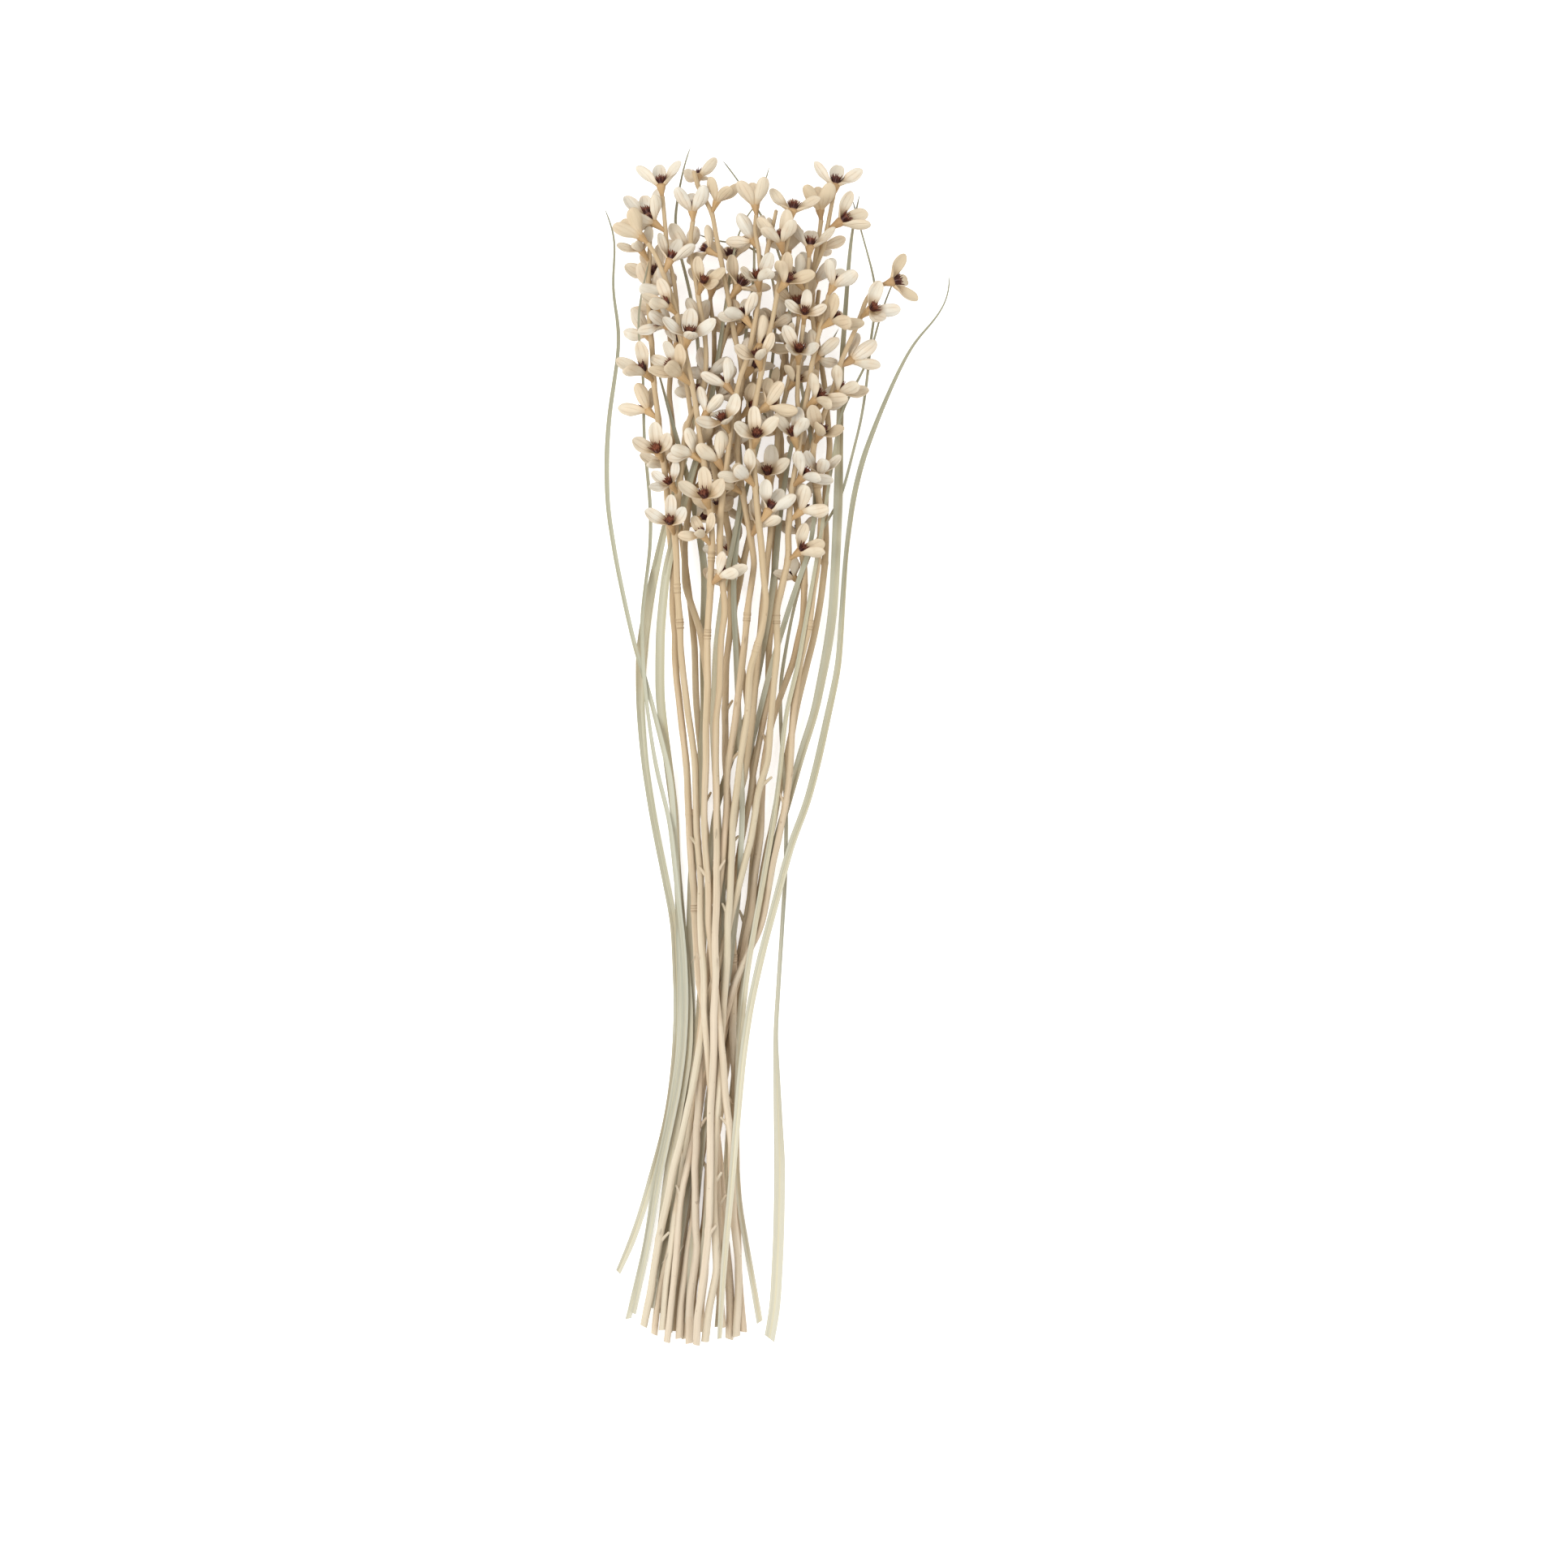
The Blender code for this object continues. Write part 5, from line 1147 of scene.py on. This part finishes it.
def blade_finish(look):
    """Dry grass: soft parallel veins, a pale midrib, sage fading to straw, with painted light on one half,
    and painted shade along the edges and where the bunch covers it.
    """
    f = Finish("grass", 0.55)
    turns, along, tone, mark, deep = f.surface()
    across = f.maths("ABSOLUTE", turns - 0.5) * 4.0 - 1.0
    off = f.maths("ABSOLUTE", across)
    rib = (1.0 - off) ** 8.0
    base = 1.0 - f.clamp(f.reach(), -0.28, -0.02)
    streaks = f.noise(f.vector(across * 1.3, along * 5.0, tone * 31.0), 1.0, 3.0)
    veins = f.maths("SINE", across * 19.0 + streaks * 4.0) * 0.5 + 0.5
    fade = f.noise(f.vector(tone * 9.0, along * 6.0, 0.0), 1.0, 2.0)
    # painted light: one half of each blade, across its fold, is lighter as if it faced the light; the blade's
    # tone picks the half
    painted_light_mask = f.clamp(across * f.maths("SIGN", tone - 0.45) + streaks * 0.8, -0.7, 1.3)
    body = f.coats(
        look.sage,
        (f.clamp(fade * 0.8 + tone * 0.6, 0.35, 0.85), look.straw),
        (f.clamp(tone + fade * 0.3, 0.80, 1.10) * 0.70, look.sand),
        (f.clamp(streaks, 0.46, 0.64) * 0.65, look.pale),
        (f.clamp(1.0 - streaks, 0.50, 0.68) * 0.50, look.shade),
        # painted light on one half of the blade
        (painted_light_mask * 0.45, look.painted_light_half),
        (veins * 0.08, look.shade),
        (rib * 0.35, look.pale),
        # painted shade along the edges, where blades lie against each other
        (f.clamp(off, 0.78, 1.0) * 0.45, look.shade),
        (f.clamp(mark, -0.25, 0.85) * 0.80, look.tip),
        (f.clamp(f.reach(), -0.16, 0.14) * 0.46, look.olive),
        (base * 0.50, look.cream),
        (rib * base * 0.55, look.gold),
        # painted shade where the bunch covers the blade
        (deep * 0.62, look.deep))
    return f.done(body, veins * 0.5 + streaks, look.relief, 0.48 + veins * 0.08)


def colour_of(name, text, *screen):
    """A colour property, by how the colour looks on a screen."""
    return bpy.props.FloatVectorProperty(name=name, description=text, subtype="COLOR", size=3,
                                         min=0.0, max=1.0, default=paint(*screen))


def number_of(name, text, value, **kind):
    return bpy.props.FloatProperty(name=name, description=text, default=value, **kind)


def length_of(name, text, value):
    return number_of(name, text, value, unit="LENGTH", subtype="DISTANCE")


class BOUQUET_PG_canes(bpy.types.PropertyGroup):
    """Colours and grooves of the bark."""

    bleached: colour_of("Bleached", "Palest bark, near the cut feet", 236, 221, 198)
    pale: colour_of("Pale", "Pale bark between the streaks", 227, 209, 181)
    tan: colour_of("Tan", "Streaks in the bark", 204, 184, 152)
    grey: colour_of("Grey", "Weathered patches", 207, 200, 173)
    rosy: colour_of("Rosy", "Pinkish canes", 218, 199, 178)
    warm: colour_of("Warm", "Bark towards the heads", 203, 176, 135)
    # Painted shade colours: the first for covered bark in the heads, the second for covered bark lower down.
    deep: colour_of("Deep", "Bark deep in the bunch", 150, 114, 70)
    painted_shade_low: colour_of("Dusk", "Bark deep between the lower canes", 196, 154, 102)
    knot: colour_of("Knot", "Nodes, scars and cut ends", 128, 94, 60)
    groove: length_of("Groove", "Depth of the bark's grooves", 0.0004)


class BOUQUET_PG_capsules(bpy.types.PropertyGroup):
    """Colours and relief of the seed capsules."""

    stalk: colour_of("Stalk", "Skin of the stalks", 182, 148, 103)
    cup: colour_of("Cup", "Skin of the cups", 200, 164, 114)
    rim: colour_of("Rim", "Rim of the cups", 170, 130, 88)
    cream: colour_of("Cream", "Pale valves", 231, 220, 198)
    chalk: colour_of("Chalk", "Most bleached valves", 228, 224, 212)
    straw: colour_of("Straw", "Older valves", 212, 188, 149)
    blush: colour_of("Blush", "Rosy blotches", 234, 209, 176)
    line: colour_of("Line", "Lines and edges of a valve", 206, 180, 146)
    foot: colour_of("Foot", "Foot of a valve", 214, 184, 140)
    hollow: colour_of("Hollow", "Inside of a valve", 188, 152, 102)
    # Painted shade of capsules covered by the bunch, used on cups and valves.
    painted_shade: colour_of("Dim", "Capsules deep in the bunch", 178, 142, 94)
    tuft: colour_of("Tuft", "Bristles", 72, 32, 28)
    rust: colour_of("Rust", "Tips of the bristles", 142, 76, 46)
    relief: length_of("Relief", "Depth of a valve's fibres", 0.0004)


class BOUQUET_PG_blades(bpy.types.PropertyGroup):
    """Colours and veins of the grass blades."""

    sage: colour_of("Sage", "Greenest grass", 182, 184, 164)
    straw: colour_of("Straw", "Yellowest grass", 208, 200, 170)
    sand: colour_of("Sand", "Brownest grass", 208, 190, 152)
    pale: colour_of("Pale", "Midrib and pale streaks", 230, 226, 204)
    # Used for darker streaks and veins, the grass's own colour, and for painted shade along the edges.
    shade: colour_of("Shade", "Between the veins and along the edges", 152, 152, 124)
    tip: colour_of("Tip", "Drawn-out tips", 152, 151, 130)
    # Painted light: the lighter half of a folded blade, not a colour of the grass.
    painted_light_half: colour_of("Frost", "Bluish side of a blade", 204, 206, 192)
    olive: colour_of("Olive", "Grass towards the heads", 180, 176, 144)
    cream: colour_of("Cream", "Bleached grass near the feet", 228, 222, 202)
    gold: colour_of("Gold", "Midrib near the feet", 226, 211, 160)
    # Painted shade of grass covered by the bunch.
    deep: colour_of("Deep", "Grass deep in the bunch", 184, 158, 114)
    relief: length_of("Relief", "Height of the veins", 0.00012)


class BOUQUET_PG_stage(bpy.types.PropertyGroup):
    """Floor, lights and camera."""

    floor: number_of("Floor", "Share of the light that the floor gives back", 0.80)
    glow: number_of("Glow", "Light that the floor gives off itself", 0.55)
    floor_size: length_of("Floor size", "Side of the floor", 12.0)
    lens: number_of("Lens", "Focal length of the camera", 95.0, unit="CAMERA")
    framed: length_of("Framed width", "What the picture's width spans", PICTURE * GRID)
    key: number_of("Key light", "Power of the main light", 48.0, unit="POWER")
    fill: number_of("Fill light", "Strength of the light all round", 0.75)


def rods_of(name):
    """A branch's cane and twigs, or a blade alone."""
    return [rod for rod in bunch() if rod.name == name]


def tone_of(name):
    """A steady random number for a name."""
    return random.Random(name).random()


class BOUQUET_OT_canes(bpy.types.Operator):
    """Build the canes with their twigs, snags and scars"""

    bl_idname = "bouquet.canes"
    bl_label = "Canes"

    def execute(self, context):
        bark = bark_finish(context.scene.bouquet_canes)
        for name in CANES:
            skin = Skin()
            rnd = random.Random(name)
            for rod in rods_of(name):
                grow_cane(skin, rod, tone_of(name))
                for stub in rod.stubs:
                    grow_snag(skin, rod, stub, tone_of(name))
                if rod.kind == "cane":
                    for _ in range(SHREDS):
                        grow_shred(skin, rod, rnd.uniform(0.03, 0.6 * rod.length), tone_of(name), rnd)
            skin.piece(name + "_cane", name, [bark])
        return {"FINISHED"}


class BOUQUET_OT_capsules(bpy.types.Operator):
    """Build the seed capsules of every branch"""

    bl_idname = "bouquet.capsules"
    bl_label = "Seed capsules"

    def execute(self, context):
        look = context.scene.bouquet_capsules
        finishes = [cup_finish(look), valve_finish(look), tuft_finish(look)]
        for name in CANES:
            skin = Skin()
            rnd = random.Random(name)
            for rod in rods_of(name):
                for item in rod.capsules:
                    grow_cup(skin, rod, item, rnd.random(), rnd)
                    grow_tuft(skin, item, rnd.random(), rnd)
                    age = rnd.random() ** 1.2
                    for k in item.valves:
                        grow_valve(skin, item, k, min(1.0, max(0.0, age + rnd.uniform(-0.15, 0.15))), rnd)
            skin.piece(name + "_capsules", name, finishes)
        return {"FINISHED"}


class BOUQUET_OT_blades(bpy.types.Operator):
    """Build the grass blades"""

    bl_idname = "bouquet.blades"
    bl_label = "Grass blades"

    def execute(self, context):
        grass = blade_finish(context.scene.bouquet_blades)
        for name in BLADES:
            skin = Skin()
            grow_ribbon(skin, rods_of(name)[0], tone_of(name), random.Random(name))
            skin.piece(name + "_blade", name, [grass])
        return {"FINISHED"}


class BOUQUET_OT_stage(bpy.types.Operator):
    """Lay the floor, hang the lights and set the camera"""

    bl_idname = "bouquet.stage"
    bl_label = "Stage"

    def execute(self, context):
        scene = context.scene
        look = scene.bouquet_stage
        bpy.ops.mesh.primitive_plane_add(size=look.floor_size, location=(0.0, 0.0, 0.0))
        floor = context.object
        floor.name = "floor"
        finish = Finish("floor_paint", 0.9)
        finish.shader.inputs["Base Color"].default_value = (look.floor,) * 3 + (1.0,)
        finish.shader.inputs["Emission Color"].default_value = (1.0,) * 4
        finish.shader.inputs["Emission Strength"].default_value = look.glow
        floor.data.materials.append(finish.material)
        world = bpy.data.worlds.new("studio")
        world.use_nodes = True
        sky = world.node_tree.nodes["Background"]
        sky.inputs["Color"].default_value = (1.0,) * 4
        sky.inputs["Strength"].default_value = look.fill
        scene.world = world
        scene.view_settings.view_transform = "Standard"
        self.lamp("key_light", (-1.2, 0.3, 2.4), 1.7, look.key)
        self.lamp("back_light", (1.3, -0.4, 2.2), 1.6, look.key * 0.30)
        data = bpy.data.cameras.new("camera")
        data.lens = look.lens
        data.clip_end = 50.0
        camera = bpy.data.objects.new("camera", data)
        height = look.framed * look.lens / data.sensor_width + 0.5 * CAD_BOX[1].z
        camera.location = (*plan(PICTURE / 2, PICTURE / 2), height)
        scene.collection.objects.link(camera)
        scene.camera = camera
        return {"FINISHED"}

    def lamp(self, name, place, size, power):
        data = bpy.data.lights.new(name, "AREA")
        data.shape = "DISK"
        data.size = size
        data.energy = power
        lamp = bpy.data.objects.new(name, data)
        lamp.location = place
        lamp.rotation_mode = "QUATERNION"
        lamp.rotation_quaternion = (-Vector(place)).to_track_quat("-Z", "Y")
        bpy.context.scene.collection.objects.link(lamp)


class BOUQUET_PT_panel(bpy.types.Panel):
    """The bouquet's steps and settings"""

    bl_label = "Dried bouquet"
    bl_space_type = "VIEW_3D"
    bl_region_type = "UI"
    bl_category = "Bouquet"

    def draw(self, context):
        for operator in OPERATORS:
            self.layout.operator(operator.bl_idname)
        for key in SETTINGS:
            box = self.layout.box()
            group = getattr(context.scene, key)
            for field in group.__annotations__:
                box.prop(group, field)


OPERATORS = (BOUQUET_OT_canes, BOUQUET_OT_capsules, BOUQUET_OT_blades, BOUQUET_OT_stage)
SETTINGS = {
    "bouquet_canes": BOUQUET_PG_canes,
    "bouquet_capsules": BOUQUET_PG_capsules,
    "bouquet_blades": BOUQUET_PG_blades,
    "bouquet_stage": BOUQUET_PG_stage,
}


def register():
    for key, group in SETTINGS.items():
        bpy.utils.register_class(group)
        setattr(bpy.types.Scene, key, bpy.props.PointerProperty(type=group))
    for operator in OPERATORS:
        bpy.utils.register_class(operator)
    bpy.utils.register_class(BOUQUET_PT_panel)


def unregister():
    bpy.utils.unregister_class(BOUQUET_PT_panel)
    for operator in reversed(OPERATORS):
        bpy.utils.unregister_class(operator)
    for key, group in SETTINGS.items():
        delattr(bpy.types.Scene, key)
        bpy.utils.unregister_class(group)


def main():
    register()
    bpy.ops.bouquet.canes()
    bpy.ops.bouquet.capsules()
    bpy.ops.bouquet.blades()
    bpy.ops.bouquet.stage()


if __name__ == "__main__":
    main()
